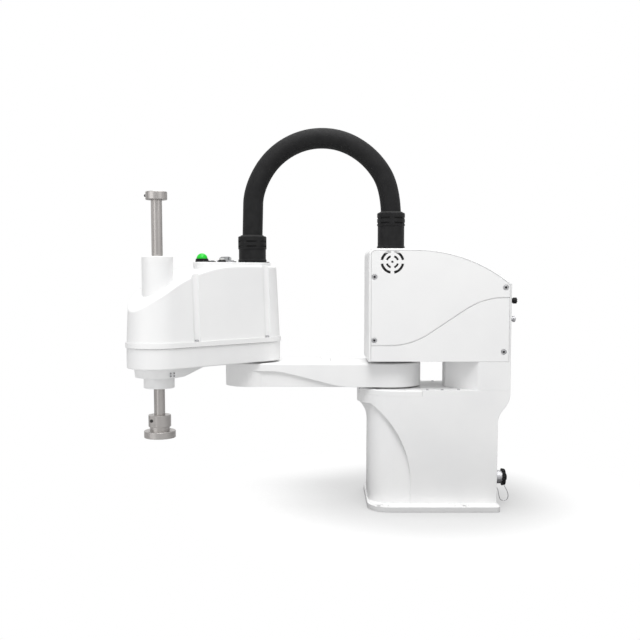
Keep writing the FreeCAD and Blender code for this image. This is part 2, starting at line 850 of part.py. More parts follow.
def tower_casting():
    half, low = number("body_half_width"), number("throat_top")
    thick, wall, web = number("panel_thickness"), number("tower_wall"), number("tower_web") / 2
    body = prism(tower_wire(0, 0, 0, low, -half), point(0, 2 * half, 0))
    outer = [
        e
        for e in body.Edges
        if abs(abs(e.BoundBox.YMin) - half) < 0.01 and e.BoundBox.YLength < 0.01 and e.BoundBox.ZMax > low + 1
    ]
    body = body.makeFillet(number("tower_edge") - 0.5, outer)
    hole = cylinder(15, number(TOWER_TOP) - 2 * wall, number(TOWER_TOP) + 1)
    for side in (-1, 1):
        recess = prism(panel_wire(0, side * (half - thick)), point(0, side * (thick + 1), 0))
        inner = tower_wire(wall + 4, wall, wall, low + wall, side * web)
        room = prism(inner, point(0, side * (half - thick - web), 0))
        post, bore, out = number("panel_post_radius"), number("cover_screw_radius"), point(0, side, 0)
        tall, deep = half - thick - web, number("cover_screw_length")
        posts = [Part.makeCylinder(post, tall, point(x, side * web, z), out) for x, z in panel_screws()]
        starts = [point(x, side * (half - thick - deep), z) for x, z in panel_screws()]
        holes = [Part.makeCylinder(bore, deep, start, out) for start in starts]
        body = body.cut(recess).cut(room.cut(posts)).cut(holes)
    plate = connector_seat(number("seam_gap"))
    return body.cut([hole, plate])


def connector_seat(gap):
    half, tall = number("connector_plate_half_width") + gap, number("connector_plate_height") / 2 + gap
    rear, middle = -number("tail_rear"), number("connector_plate_centre")
    front = rear + number("connector_plate_thickness")
    return block(rear - 1, front, -half, half, middle - tall, middle + tall)


def side_cover(side):
    """One side cover: a flat plate with an S-shaped groove, four screw seats and the round vent."""
    half, thick, gap = number("body_half_width"), number("panel_thickness"), number("seam_gap")
    inner = side * (half - thick)
    plate = prism(panel_wire(gap, inner), point(0, side * thick, 0))
    low = number("throat_top") + 1
    flat = [e for e in plate.Edges if e.BoundBox.YLength < 0.01 and e.BoundBox.ZMax > low]
    skin = [e for e in flat if abs(e.BoundBox.YMin - side * half) < 0.01]
    plate = plate.makeChamfer(0.4, skin)
    line = s_curve(
        -number("groove_start") + 12,
        number("groove_level"),
        -1,
        80,
        60,
        number("groove_radius"),
        number("groove_slope"),
        number("groove_rise"),
    )
    depth = number("groove_depth")
    line.translate(point(0, side * half - (depth if side > 0 else 0), 0))
    band = line.extrude(point(0, 0, number("groove_width")))
    groove = [face.extrude(point(0, depth, 0)) for face in band.Faces]
    plate = plate.cut(groove)
    for x, z in panel_screws():
        axis = point(0, side, 0)
        bore, head = number("cover_screw_radius + seam_gap"), number("cover_screw_head + 3 * seam_gap")
        seat = half - number("panel_screw_sink")
        plate = plate.cut(Part.makeCylinder(bore, thick + 2, point(x, inner - side, z), axis))
        plate = plate.cut(Part.makeCylinder(head, thick, point(x, side * seat, z), axis))
    return plate.cut(vent_slots(side))


def vent_slots(side):
    """The round vent: four long slots in a ring, four short ones inside it and a small centre hole."""
    half, thick = number("body_half_width"), number("panel_thickness")
    centre = point(number("vent_forward"), side * (half - thick) - 1, number(f"{TOWER_TOP} - vent_height"))
    if side < 0:
        centre.y = -half - 1
    deep = point(0, thick + 2, 0)
    slots = []
    for ring in ("outer", "inner"):
        radius, width = number(f"vent_{ring}_radius"), number(f"vent_{ring}_slot")
        reach = math.radians(90 - number(f"vent_{ring}_bridge")) / 2
        for quarter in range(4):
            middle = math.radians(45 + 90 * quarter)
            slots.append(arc_slot(centre, radius, width, middle, reach, deep))
    slots.append(Part.makeCylinder(number("vent_centre_radius"), deep.y, centre, point(0, 1, 0)))
    return slots


def arc_slot(centre, radius, width, middle, reach, deep):
    """A slot bent round a centre, cut straight through along Y."""

    def spot(r, angle):
        return centre + point(r * math.cos(angle), 0, r * math.sin(angle))

    inner, outer = radius - width / 2, radius + width / 2
    a, b = spot(inner, middle - reach), spot(inner, middle + reach)
    c, d = spot(outer, middle + reach), spot(outer, middle - reach)
    near = Part.Arc(a, spot(inner, middle), b).toShape()
    far = Part.Arc(c, spot(outer, middle), d).toShape()
    return prism(Part.Wire([near, Part.makeLine(b, c), far, Part.makeLine(d, a)]), deep)


shaped("tower_casting", tower_casting())
shaped("tower_cover_left", side_cover(1))
shaped("tower_cover_right", side_cover(-1))
seat = number("body_half_width - panel_screw_sink")
radius, head = number("cover_screw_radius"), number("cover_screw_head")
tall, deep = number("panel_screw_height"), number("cover_screw_length")
spots = [(side, x, z) for side in (-1, 1) for x, z in panel_screws()]
screws = [screw(radius, head, tall, deep, x, side * seat, z, (0, side, 0)) for side, x, z in spots]
shaped("tower_cover_screws", Part.makeCompound(screws))


# Electronics in the tower: the drive board on one side of the web, the supply on the other
def drive_board():
    face, gap = number("tower_web") / 2, number("board_standoff")
    rear, low = -number("tail_rear - board_inset"), number("throat_top + board_rise")
    long, tall = number("board_length"), number("board_height")
    skin = face + gap + number("board_thickness")
    board = block(rear, rear + long, face + gap, skin, low, low + tall)
    spots = [(rear + share * long, low + rise * tall) for share in (0.07, 0.93) for rise in (0.1, 0.9)]
    feet = [Part.makeCylinder(3, gap, point(x, face, z), point(0, 1, 0)) for x, z in spots]
    wide, chips = number("chip_width"), []
    for step, proud in enumerate((14, 24, 9)):
        x = rear + (0.5 + 1.75 * step) * wide
        chips.append(block(x, x + wide, skin, skin + proud, low + tall / 4, low + tall / 4 + wide))
    return board.fuse(feet + chips)


shaped("drive_board", drive_board())


def power_supply():
    face, deep = -number("tower_web") / 2, number("supply_depth")
    rear, low = -number("tail_rear - board_inset"), number("throat_top + board_rise")
    long, tall = number("supply_length"), number("supply_height")
    case = block(rear, rear + long, face - deep, face, low, low + tall)
    pitch, proud, thick = number("fin_pitch"), number("fin_height"), number("fin_thickness")
    starts = [rear + thick + pitch * step for step in range(int((long - thick) / pitch))]
    fins = [block(x, x + thick, face - deep - proud, face - deep, low + 6, low + tall - 6) for x in starts]
    return case.fuse(fins)


shaped("power_supply", power_supply())


# Rear fittings: a flush plate with two sockets, and the capped connector low on the column
plate_gap = connector_seat(0)
rear = -number("tail_rear")
shaped("connector_plate", plate_gap.cut(block(rear - 2, rear, -200, 200, 0, 600)))


def along_x(label, level, offset, base, *steps):
    """A stepped round fitting that points backwards: each step is a radius and a length."""
    x = base
    solid = None
    for radius, length in steps:
        ring = Part.makeCylinder(radius, length, point(x, offset, level), point(-1, 0, 0))
        solid = ring if solid is None else solid.fuse(ring)
        x -= length
    return shaped(label, solid)


flange_step = (number("plug_flange_radius"), number("plug_flange_height"))
neck_step = (number("plug_neck_radius"), number("plug_neck_length"))
for name in ("upper", "lower"):
    ring_step = (number("plug_ring_radius"), number(f"{name}_ring_length"))
    level, across = number(f"{name}_connector_level"), number("rear_connector_offset")
    along_x(f"{name}_connector", level, across, rear, flange_step, neck_step, ring_step)
low_rear = -number("column_rear")
low_side, low_level = number("base_connector_offset"), number("base_connector_level")
half, thick = number("base_flange_half_width"), number("plug_flange_height")
face = low_rear - thick
flange = block(face, low_rear, low_side - half, low_side + half, low_level - half, low_level + half)
barrel_long = number("base_connector_length")
start = point(face, low_side, low_level)
barrel = Part.makeCylinder(number("base_connector_radius"), barrel_long, start, point(-1, 0, 0))
shaped("base_connector", flange.fuse(barrel))
cap_step = (number("cap_radius"), number("cap_length"))
knob_step = (number("cap_knob_radius"), number("cap_knob_length"))
along_x("connector_cap", low_level, low_side, face - barrel_long, cap_step, knob_step)


# Inner arm: two hubs joined by a beam whose flanks step in below a soft S-shaped line


def link1_casting():
    low, top = number(LINK1_BOTTOM), number(LINK1_TOP)
    r1, r2, reach = number("hub1_radius"), number("hub2_radius"), number("arm1_length")
    step, edge = number("link1_side_step"), number("link1_edge")
    wide = prism(hull_wire(r1, 0, r2, reach, low), point(0, 0, top - low))
    line = s_curve(
        number("s_line_start"),
        low,
        1,
        number("s_line_start") + r1 + 10,
        r2 + reach,
        number("s_line_radius"),
        number("s_line_slope"),
        number("s_line_rise"),
    )
    ends = [v.Point for v in line.OrderedVertexes]
    over = top + 10
    ring = line.Edges + [
        Part.makeLine(ends[-1], point(ends[-1].x, 0, over)),
        Part.makeLine(point(ends[-1].x, 0, over), point(ends[0].x, 0, over)),
        Part.makeLine(point(ends[0].x, 0, over), ends[0]),
    ]
    above = prism(Part.Wire(Part.sortEdges(ring)[0]), point(0, 2 * r1 + 4, 0))
    above.translate(point(0, -r1 - 2, 0))
    narrow = prism(hull_wire(r1 - step, 0, r2 - step, reach, low), point(0, 0, top - low))
    hubs = [cylinder(r1, low, top), cylinder(r2, low, top, reach)]
    body = wide.common(above).fuse([narrow] + hubs).removeSplitter()
    rim = [e for e in body.Edges if at_level(LINK1_TOP)(e)]
    body = body.makeFillet(edge, rim)
    wall, thick = number("link1_wall"), number("bottom_cover_thickness")
    start, end = r1 + wall, reach - r2 - wall
    in1, in2 = r1 - step - wall - 6, r2 - step - wall - 6
    inner = prism(hull_wire(in1, start + 14, in2, end - 14, low), point(0, 0, top - low - wall))
    seat = prism(hull_wire(r1 - step - wall, start + 14, r2 - step - wall, end - 14, low), point(0, 0, thick))
    between = block(start - 10, end + 10, -r1, r1, low, top)
    return body.cut(inner.common(between)).cut(seat)


shaped("link1_casting", link1_casting())


def bottom_cover():
    low, gap = number(LINK1_BOTTOM), number("seam_gap")
    r1, r2 = number("hub1_radius"), number("hub2_radius")
    step, wall, thick = number("link1_side_step"), number("link1_wall"), number("bottom_cover_thickness")
    start, end = r1 + wall + 14, number("arm1_length") - r2 - wall - 14
    outline = hull_wire(r1 - step - wall - gap, start, r2 - step - wall - gap, end, low)
    return prism(outline, point(0, 0, thick))


shaped("link1_bottom_cover", bottom_cover())

stop = Piece("j2_stop_block")
stop.pad(
    stop.draw(level=LINK1_TOP).rectangle(
        "stop_block_place - stop_block_length / 2",
        "stop_block_place + stop_block_length / 2",
        "-stop_block_width / 2",
        "stop_block_width / 2",
    ),
    "stop_block_height",
)
stop.round("3", upright)
stop.bevel("1", at_level(f"{LINK1_TOP} + stop_block_height"))


# Second joint: a pivot flange on the inner arm, a closed reducer and motor in the outer arm
pivot = turned(
    "j2_pivot_flange",
    ("0", LINK1_TOP),
    ("pivot2_radius", LINK1_TOP),
    ("pivot2_radius", f"{TRAY_FLOOR} - seam_gap"),
    ("pivot2_stub_radius", f"{TRAY_FLOOR} - seam_gap"),
    ("pivot2_stub_radius", f"{TRAY_FLOOR} + reducer2_height - 5"),
    ("0", f"{TRAY_FLOOR} + reducer2_height - 5"),
)
place(pivot.body, "arm1_length")
reducer2 = turned(
    "j2_reducer",
    ("pivot2_stub_radius + running_gap", TRAY_FLOOR),
    ("reducer2_radius", TRAY_FLOOR),
    ("reducer2_radius", f"{TRAY_FLOOR} + reducer2_height"),
    ("0", f"{TRAY_FLOOR} + reducer2_height"),
    ("0", f"{TRAY_FLOOR} + reducer2_height - 4"),
    ("pivot2_stub_radius + running_gap", f"{TRAY_FLOOR} + reducer2_height - 4"),
)
place_on_arm2(reducer2.body)


def square_motor(label, width, low, length, along, across):
    """A square-flanged servo motor with bevelled corners and a narrower encoder end."""
    piece = Piece(label)
    half = f"({width}) / 2"
    piece.pad(piece.draw(level=low).rectangle(f"-{half}", half, f"-{half}", half), f"({length}) * 0.72")
    piece.bevel(f"({width}) / 10", upright)
    narrow = f"({width}) / 2 - 3"
    end = piece.draw(level=f"{low} + ({length}) * 0.72")
    piece.pad(end.rectangle(f"-({narrow})", narrow, f"-({narrow})", narrow), f"({length}) * 0.28")
    place_on_arm2(piece.body, along, across)
    return piece


square_motor("j2_motor", "motor2_width", f"{TRAY_FLOOR} + reducer2_height", "motor2_length", "0", "0")


# Outer arm's tray: an open cast pan with a boss and a fairing under the spline
tray = Piece("link2_casting")
fairing_low = f"{TRAY_BOTTOM} - boss_depth"
tray.pad(tray.draw(level=TRAY_BOTTOM).hull("tray_radius", "0", "tray_radius", NOSE), "tray_height")
tray.round("2", at_level(TRAY_BOTTOM))
under = tray.draw(level=f"{TRAY_BOTTOM} + 1").hull(
    "boss_radius", "arm2_length", "boss_fairing_radius", "boss_fairing_place"
)
lower = tray.draw(level=fairing_low)
lower.hull("boss_radius - 2", "arm2_length", "boss_radius - 6", "arm2_length - 12")
tray.loft(under, lower)
inside = tray.draw(level=TRAY_FLOOR)
inside.hull("tray_radius - tray_wall", "0", "tray_radius - tray_wall", NOSE)
tray.pocket(inside, "tray_height")
tray.pocket(tray.draw(level=f"{TRAY_BOTTOM} - 1").circle("pivot2_radius + seam_gap"), "tray_floor + 2")
throat = tray.draw(level=f"{fairing_low} - 1").circle("nut_radius + 3", "arm2_length")
tray.pocket(throat, "boss_depth + tray_floor")
tray.pocket(
    tray.draw(level=f"{fairing_low} + bearing_lip").circle("bearing_radius + running_gap", "arm2_length"),
    "boss_depth + tray_floor",
)
place_on_arm2(tray.body)


# Cover of the outer arm: a drafted shell with a falling top, four flutes and the shaft's sleeve
COVER_SPOTS = ("brow", "shoulder", "sleeve", "nose", "tip")


def cover_top_line():
    """Points of the cover's top edge from the rear to the nose: along the arm, height."""
    top, nose = number(COVER_TOP) - 1, number(NOSE)
    falls = [(nose + number(f"{spot}_place"), top - number(f"{spot}_fall")) for spot in COVER_SPOTS]
    return [(-number("cover_foot_radius") - 18, top), (number("deck_front") / 2, top - 0.5)] + falls


def cover_solid(inset):
    """The cover's outer form, or its hollow when drawn in by the wall."""
    low, top = number(RIM_TOP), number(COVER_TOP) + 12
    nose = number(NOSE)
    foot_radius = number("cover_foot_radius") - inset
    lean = number("(cover_foot_radius - cover_top_radius) / cover_height")
    head_radius = foot_radius - lean * (top - low)
    foot_wire = hull_wire(foot_radius, 0, foot_radius, nose, low)
    head_wire = hull_wire(head_radius, 0, head_radius, nose, top)
    body = Part.makeLoft([foot_wire, head_wire], True, True)
    line = [point(x, -80, z - inset) for x, z in cover_top_line()]
    curve = Part.BSplineCurve()
    curve.interpolate(line)
    high = top + 20
    edge = Part.Wire(
        [
            curve.toShape(),
            Part.makeLine(line[-1], point(line[-1].x + 40, -80, line[-1].z)),
            Part.makeLine(point(line[-1].x + 40, -80, line[-1].z), point(line[-1].x + 40, -80, high)),
            Part.makeLine(point(line[-1].x + 40, -80, high), point(line[0].x - 40, -80, high)),
            Part.makeLine(point(line[0].x - 40, -80, high), point(line[0].x - 40, -80, line[0].z)),
            Part.makeLine(point(line[0].x - 40, -80, line[0].z), line[0]),
        ]
    )
    return body.cut(prism(edge, point(0, 160, 0)))


def flute_screw_spots():
    """Where the cover's screws stand, in the flutes."""
    wide, places = number("cover_foot_radius - 1.5"), (number("flute_front"), number("flute_rear"))
    return [(along, side * wide) for side in (-1, 1) for along in places]


def link2_cover():
    low, rim_low = number(RIM_TOP), number(f"{TRAY_TOP} + seal_thickness")
    nose, shaft, wall = number(NOSE), number("arm2_length"), number("cover_wall")
    body = cover_solid(0)
    high = [e for e in body.Edges if e.BoundBox.ZMax > low + 40 and e.BoundBox.ZMin > low + 5]
    top_edges = [e for e in high if e.BoundBox.YLength + e.BoundBox.XLength > 30 and not upright(e)]
    body = body.makeFillet(5, top_edges)
    rim, up = number("rim_radius"), point(0, 0, low - rim_low)
    flange = prism(hull_wire(rim, 0, rim, nose, rim_low), up)
    sleeve = cylinder(number("sleeve_radius"), low + 10, number("sleeve_top"), shaft)
    lean = math.atan(number("(cover_foot_radius - cover_top_radius) / cover_height"))
    flutes = []
    for side in (-1, 1):
        for along in (number("flute_front"), number("flute_rear")):
            cutter = Part.makeCylinder(
                number("flute_radius"),
                number("cover_height") + 20,
                point(along, side * (number("cover_foot_radius") + 2), low),
                point(0, -side * math.sin(lean), math.cos(lean)),
            )
            flutes.append(cutter)
    rear_radius, front_radius = number("deck_radius"), number("deck_front_radius")
    level = low + number("cover_height") / 2
    deck_wire = hull_wire(rear_radius, number("deck_rear"), front_radius, number("deck_front"), level)
    plateau = prism(deck_wire, point(0, 0, number(COVER_TOP) - level))
    body = body.cut(flutes).fuse([flange, sleeve, plateau])
    hollow = cover_solid(wall)
    liners = [
        Part.makeCylinder(
            number("flute_radius") + wall,
            number("cover_height") + 40,
            point(along, side * (number("cover_foot_radius") + 2), low - 20),
            point(0, -side * math.sin(lean), math.cos(lean)),
        )
        for side in (-1, 1)
        for along in (number("flute_front"), number("flute_rear"))
    ]
    hollow = hollow.cut(liners)
    inside = number("cover_foot_radius") - wall
    mouth = prism(hull_wire(inside, 0, inside, nose, rim_low), up).cut(liners)
    shaft_room = cylinder(number("sleeve_radius") - wall, low + 12, number("sleeve_top") + 1, shaft)
    bore = number("flute_screw_radius + seam_gap")
    holes = [cylinder(bore, low - 6, low + 1, x, y) for x, y in flute_screw_spots()]
    return body.cut([mouth, hollow, shaft_room] + holes)


shaped("link2_cover", link2_cover(), on_arm2=True)

seal = Piece("cover_seal")
ring = seal.draw(level=TRAY_TOP).hull("tray_radius - 1", "0", "tray_radius - 1", NOSE)
seal.pad(ring, "seal_thickness")
inner = seal.draw(level=TRAY_TOP)
inner.hull("tray_radius - tray_wall + 1", "0", "tray_radius - tray_wall + 1", NOSE)
seal.pocket(inner, "seal_thickness")
place_on_arm2(seal.body)

radius, seat = number("flute_screw_radius"), number(RIM_TOP)
screws = [screw(radius, 1.8 * radius, 3.5, 5.5, x, y, seat, (0, 0, 1)) for x, y in flute_screw_spots()]
shaped("cover_screws", Part.makeCompound(screws), on_arm2=True)

cap = turned(
    "sleeve_cap",
    ("shaft_radius + 1.5", "sleeve_top"),
    ("sleeve_radius", "sleeve_top"),
    ("sleeve_radius", "sleeve_top + sleeve_cap_height - 1.5"),
    ("sleeve_radius - 1.5", "sleeve_top + sleeve_cap_height"),
    ("shaft_radius + 1.5", "sleeve_top + sleeve_cap_height"),
)
place_on_arm2(cap.body, "arm2_length")


# Screw and spline: both nuts turn in bearings, and the shaft slides through them
SPLINE_FLANGE_TOP = f"{TRAY_BOTTOM} - boss_depth - nut_flange_gap"
SPLINE_FLANGE_LOW = f"{SPLINE_FLANGE_TOP} - nut_flange_height"
BEARING_LOW = f"{TRAY_BOTTOM} - boss_depth + bearing_lip"
SPLINE_TOP = f"{BEARING_LOW} + bearing_height + 9"
nut = turned(
    "spline_nut",
    ("shaft_radius + running_gap", SPLINE_FLANGE_LOW),
    ("nut_flange_radius - 1", SPLINE_FLANGE_LOW),
    ("nut_flange_radius", f"{SPLINE_FLANGE_LOW} + 1"),
    ("nut_flange_radius", SPLINE_FLANGE_TOP),
    ("nut_radius - running_gap", SPLINE_FLANGE_TOP),
    ("nut_radius - running_gap", SPLINE_TOP),
    ("shaft_radius + running_gap", SPLINE_TOP),
)
place_on_arm2(nut.body, "arm2_length")
race = turned(
    "spline_bearing",
    ("nut_radius", BEARING_LOW),
    ("bearing_radius", BEARING_LOW),
    ("bearing_radius", f"{BEARING_LOW} + bearing_height"),
    ("nut_radius", f"{BEARING_LOW} + bearing_height"),
)
place_on_arm2(race.body, "arm2_length")


def pulley(label, radius, bore, low, along, across):
    """A flanged timing pulley: two thin flanges with the belt's track between them."""
    flange = f"{radius} + belt_thickness + 1"
    profile = [
        (bore, low),
        (flange, low),
        (flange, f"{low} + 0.7"),
        (radius, f"{low} + 0.7"),
        (radius, f"{low} + pulley_height - 0.7"),
        (flange, f"{low} + pulley_height - 0.7"),
        (flange, f"{low} + pulley_height"),
        (bore, f"{low} + pulley_height"),
    ]
    piece = turned(label, *profile)
    place_on_arm2(piece.body, along, across)
    return piece


def belt(label, low, radius1, across2, radius2):
    """A closed timing belt round the nut's pulley and a motor's."""
    piece = Piece(label)
    level = f"{low} + (pulley_height - belt_width) / 2"
    back = piece.draw(level=level).hull(
        f"{radius1} + seam_gap + belt_thickness",
        "arm2_length",
        f"{radius2} + seam_gap + belt_thickness",
        "motor3_place",
        "0",
        across2,
    )
    piece.pad(back, "belt_width")
    inner = piece.draw(level=level).hull(
        f"{radius1} + seam_gap", "arm2_length", f"{radius2} + seam_gap", "motor3_place", "0", across2
    )
    piece.pocket(inner, "belt_width")
    place_on_arm2(piece.body)
    return piece


pulley("spline_pulley", "pulley_radius", "shaft_radius + 0.5", SPLINE_TOP, "arm2_length", "0")
pulley("j4_motor_pulley", "motor4_pulley_radius", "0", SPLINE_TOP, "motor3_place", "-motor4_offset")
belt("j4_belt", SPLINE_TOP, "pulley_radius", "-motor4_offset", "motor4_pulley_radius")
pulley("screw_pulley", "pulley_radius", "shaft_radius + 0.5", "screw_pulley_level", "arm2_length", "0")
pulley("j3_motor_pulley", "motor3_pulley_radius", "0", "screw_pulley_level", "motor3_place", "motor3_offset")
belt("j3_belt", "screw_pulley_level", "pulley_radius", "motor3_offset", "motor3_pulley_radius")

SCREW_NUT_LOW = "screw_pulley_level + pulley_height"
HOUSING_LOW = f"{SCREW_NUT_LOW} + 2"
ball_nut = turned(
    "ball_nut",
    ("shaft_radius + running_gap", SCREW_NUT_LOW),
    ("nut_radius - running_gap", SCREW_NUT_LOW),
    ("nut_radius - running_gap", f"{SCREW_NUT_LOW} + screw_nut_height"),
    ("shaft_radius + running_gap", f"{SCREW_NUT_LOW} + screw_nut_height"),
)
place_on_arm2(ball_nut.body, "arm2_length")
screw_race = turned(
    "screw_bearing",
    ("nut_radius", HOUSING_LOW),
    ("nut_radius + 7", HOUSING_LOW),
    ("nut_radius + 7", f"{HOUSING_LOW} + nut_housing_thickness - 2"),
    ("nut_radius", f"{HOUSING_LOW} + nut_housing_thickness - 2"),
)
place_on_arm2(screw_race.body, "arm2_length")
housing = Piece("nut_housing")
plate = housing.draw(level=HOUSING_LOW).circle("nut_housing_radius", "arm2_length")
housing.pad(plate, "nut_housing_thickness")
for sign in ("", "-"):
    across = f"{sign}nut_post_offset"
    ear = housing.draw(level=HOUSING_LOW).circle("nut_post_radius + 2", "arm2_length", across)
    housing.pad(ear, "nut_housing_thickness")
    post = housing.draw(level=TRAY_FLOOR).circle("nut_post_radius", "arm2_length", across)
    housing.pad(post, f"{HOUSING_LOW} - ({TRAY_FLOOR}) + 1")
race_seat = housing.draw(level=HOUSING_LOW).circle("nut_radius + 7 + running_gap", "arm2_length")
housing.pocket(race_seat, "nut_housing_thickness - 2")
nut_room = housing.draw(level=HOUSING_LOW).circle("nut_radius + 2", "arm2_length")
housing.pocket(nut_room, "nut_housing_thickness")
place_on_arm2(housing.body)


# Small motors: each hangs its pulley below a mounting plate on three posts
def motor_mount(label, plate_low, across, sign):
    piece = Piece(label)
    half = "small_motor_width / 2 + 2"
    outline = piece.draw(level=plate_low).rectangle(
        f"motor3_place - ({half})", f"motor3_place + ({half})", f"{across} - ({half})", f"{across} + ({half})"
    )
    piece.pad(outline, "mount_plate")
    corners = (("-", "+"), ("-", "-"), ("+", sign))
    for along_sign, across_sign in corners:
        post = piece.draw(level=TRAY_FLOOR).circle(
            "mount_post_radius",
            f"motor3_place {along_sign} ({half})",
            f"{across} {across_sign} (small_motor_width / 2 - 3)",
        )
        piece.pad(post, f"{plate_low} - ({TRAY_FLOOR}) + mount_plate")
    piece.pocket(piece.draw(level=plate_low).circle("6", "motor3_place", across), "mount_plate")
    place_on_arm2(piece.body)
    return piece


MOUNT4_LOW = f"{SPLINE_TOP} + pulley_height + 3"
MOUNT3_LOW = "screw_pulley_level + pulley_height + 3"
motor_mount("j4_motor_mount", MOUNT4_LOW, "-motor4_offset", "-")
motor_mount("j3_motor_mount", MOUNT3_LOW, "motor3_offset", "+")
for label, low, length, across in (
    ("j4_motor", MOUNT4_LOW, "motor4_length", "-motor4_offset"),
    ("j3_motor", MOUNT3_LOW, "motor3_length", "motor3_offset"),
):
    motor = square_motor(label, "small_motor_width", f"{low} + mount_plate", length, "motor3_place", across)
    stub = motor.draw(level=f"{low} - 3 + seam_gap").circle("4")
    motor.pad(stub, "mount_plate + 3 - seam_gap")


def turned_corners(turn, corners):
    """Corners of a drawing turned about its middle by an angle in degrees."""
    cos, sin = f"cos({turn})", f"sin({turn})"
    return [(f"({x}) * {cos} - ({y}) * {sin}", f"({x}) * {sin} + ({y}) * {cos}") for x, y in corners]


# Quill: the splined shaft with its stop collar above and the tool flange below
SHAFT_TOP_LOW = "sleeve_top + sleeve_cap_height + stroke_down + 0.5"
TOOL_HUB_TOP = f"{SPLINE_FLANGE_LOW} - stroke_up - 0.5"
shaft = Piece("spline_shaft")
rod = shaft.draw(level="shaft_bottom").circle("shaft_radius")
shaft.pad(rod, f"{SHAFT_TOP_LOW} + collar_height - shaft_bottom")
shaft.bevel("1", lambda e: at_level("shaft_bottom")(e) or at_level(f"{SHAFT_TOP_LOW} + collar_height")(e))
groove = shaft.draw(level=f"{TOOL_HUB_TOP} + 1")
x, y = "shaft_radius * cos(shaft_groove_turn)", "shaft_radius * sin(shaft_groove_turn)"
groove.circle("shaft_groove_radius", x, y)
shaft.repeat_round(shaft.pocket(groove, f"{SHAFT_TOP_LOW} - ({TOOL_HUB_TOP}) - 2"), 3)
place_on_arm2(shaft.body, "arm2_length")
top_collar = turned(
    "top_stop_collar",
    ("shaft_radius", SHAFT_TOP_LOW),
    ("collar_radius - 1", SHAFT_TOP_LOW),
    ("collar_radius", f"{SHAFT_TOP_LOW} + 1"),
    ("collar_radius", f"{SHAFT_TOP_LOW} + collar_height - 1"),
    ("collar_radius - 1", f"{SHAFT_TOP_LOW} + collar_height"),
    ("shaft_radius", f"{SHAFT_TOP_LOW} + collar_height"),
)
slit = top_collar.draw(level=SHAFT_TOP_LOW)
slit.rectangle("shaft_radius / 2", "collar_radius + 1", "-clamp_slit / 2", "clamp_slit / 2")
top_collar.pocket(slit, "collar_height")
place_on_arm2(top_collar.body, "arm2_length")
TOOL_HUB_LOW = f"{TOOL_HUB_TOP} - tool_hub_height"
TOOL_LOW = "shaft_bottom"
tool = turned(
    "tool_flange",
    ("shaft_radius", TOOL_LOW),
    ("tool_flange_radius - 0.6", TOOL_LOW),
    ("tool_flange_radius", f"{TOOL_LOW} + 0.6"),
    ("tool_flange_radius", f"{TOOL_LOW} + tool_flange_height - 0.6"),
    ("tool_flange_radius - 0.6", f"{TOOL_LOW} + tool_flange_height"),
    ("tool_hub_radius - 2.5", f"{TOOL_LOW} + tool_flange_height"),
    ("tool_hub_radius - 2.5", TOOL_HUB_LOW),
    ("tool_hub_radius - 0.5", TOOL_HUB_LOW),
    ("tool_hub_radius", f"{TOOL_HUB_LOW} + 0.5"),
    ("tool_hub_radius", f"{TOOL_HUB_TOP} - 0.5"),
    ("tool_hub_radius - 0.5", TOOL_HUB_TOP),
    ("shaft_radius", TOOL_HUB_TOP),
)
far, half = "tool_hub_radius + 1", "clamp_slit / 2"
slit = [("shaft_radius / 2", f"-{half}"), (far, f"-{half}"), (far, half), ("shaft_radius / 2", half)]
lug = [("lug_start", "lug_face"), (far, "lug_face"), (far, far), ("lug_start", far)]
for corners in (slit, lug):
    outline = tool.draw(level=TOOL_HUB_LOW).polygon(*turned_corners("-arm2_rest_angle", corners))
    tool.pocket(outline, "tool_hub_height")
for turn in (45, 135, 225, 315):
    x = f"tool_bolt_circle / 2 * cos({turn} - arm2_rest_angle)"
    y = f"tool_bolt_circle / 2 * sin({turn} - arm2_rest_angle)"
    tool.pocket(tool.draw(level=TOOL_LOW).circle("tool_bolt_radius", x, y), "tool_flange_height")
place_on_arm2(tool.body, "arm2_length")


# Deck of the outer arm: the plate, the status lamp, the release button and the user connections
deck = Piece("deck_plate")
outline = deck.draw(level=COVER_TOP).hull("deck_radius", "deck_rear", "deck_front_radius", "deck_front")
deck.pad(outline, "deck_thickness")
deck.bevel("1", at_level(DECK_TOP))
place_on_arm2(deck.body)

lamp_base = turned(
    "lamp_base",
    ("0", DECK_TOP),
    ("lamp_radius + 2", DECK_TOP),
    ("lamp_radius + 2", f"{DECK_TOP} + lamp_base_height - 1"),
    ("lamp_radius + 1", f"{DECK_TOP} + lamp_base_height"),
    ("0", f"{DECK_TOP} + lamp_base_height"),
)
place_on_arm2(lamp_base.body, "lamp_place")


def lamp_dome():
    low, radius = number(f"{DECK_TOP} + lamp_base_height"), number("lamp_radius")
    ball = Part.makeSphere(radius, point(0, 0, low + 2))
    return cylinder(radius, low, low + 2).fuse(ball.common(cylinder(radius + 1, low + 2, low + 2 + radius)))


dome = shaped("lamp_dome", lamp_dome())
place_on_arm2(dome, "lamp_place")

bezel = turned(
    "button_bezel",
    ("button_radius + seam_gap", DECK_TOP),
    ("button_radius + 3", DECK_TOP),
    ("button_radius + 2", f"{DECK_TOP} + 4"),
    ("button_radius + seam_gap", f"{DECK_TOP} + 4"),
)
place_on_arm2(bezel.body, "button_place", "14")
button = turned(
    "release_button",
    ("0", f"{DECK_TOP} + 4 + button_proud - 8 + seam_gap + 3"),
    ("button_radius", f"{DECK_TOP} + 4 + button_proud - 8 + seam_gap + 3"),
    ("button_radius", f"{DECK_TOP} + 4 + button_proud - 1"),
    ("button_radius - 1", f"{DECK_TOP} + 4 + button_proud"),
    ("0", f"{DECK_TOP} + 4 + button_proud"),
)
place_on_arm2(button.body, "button_place", "14")

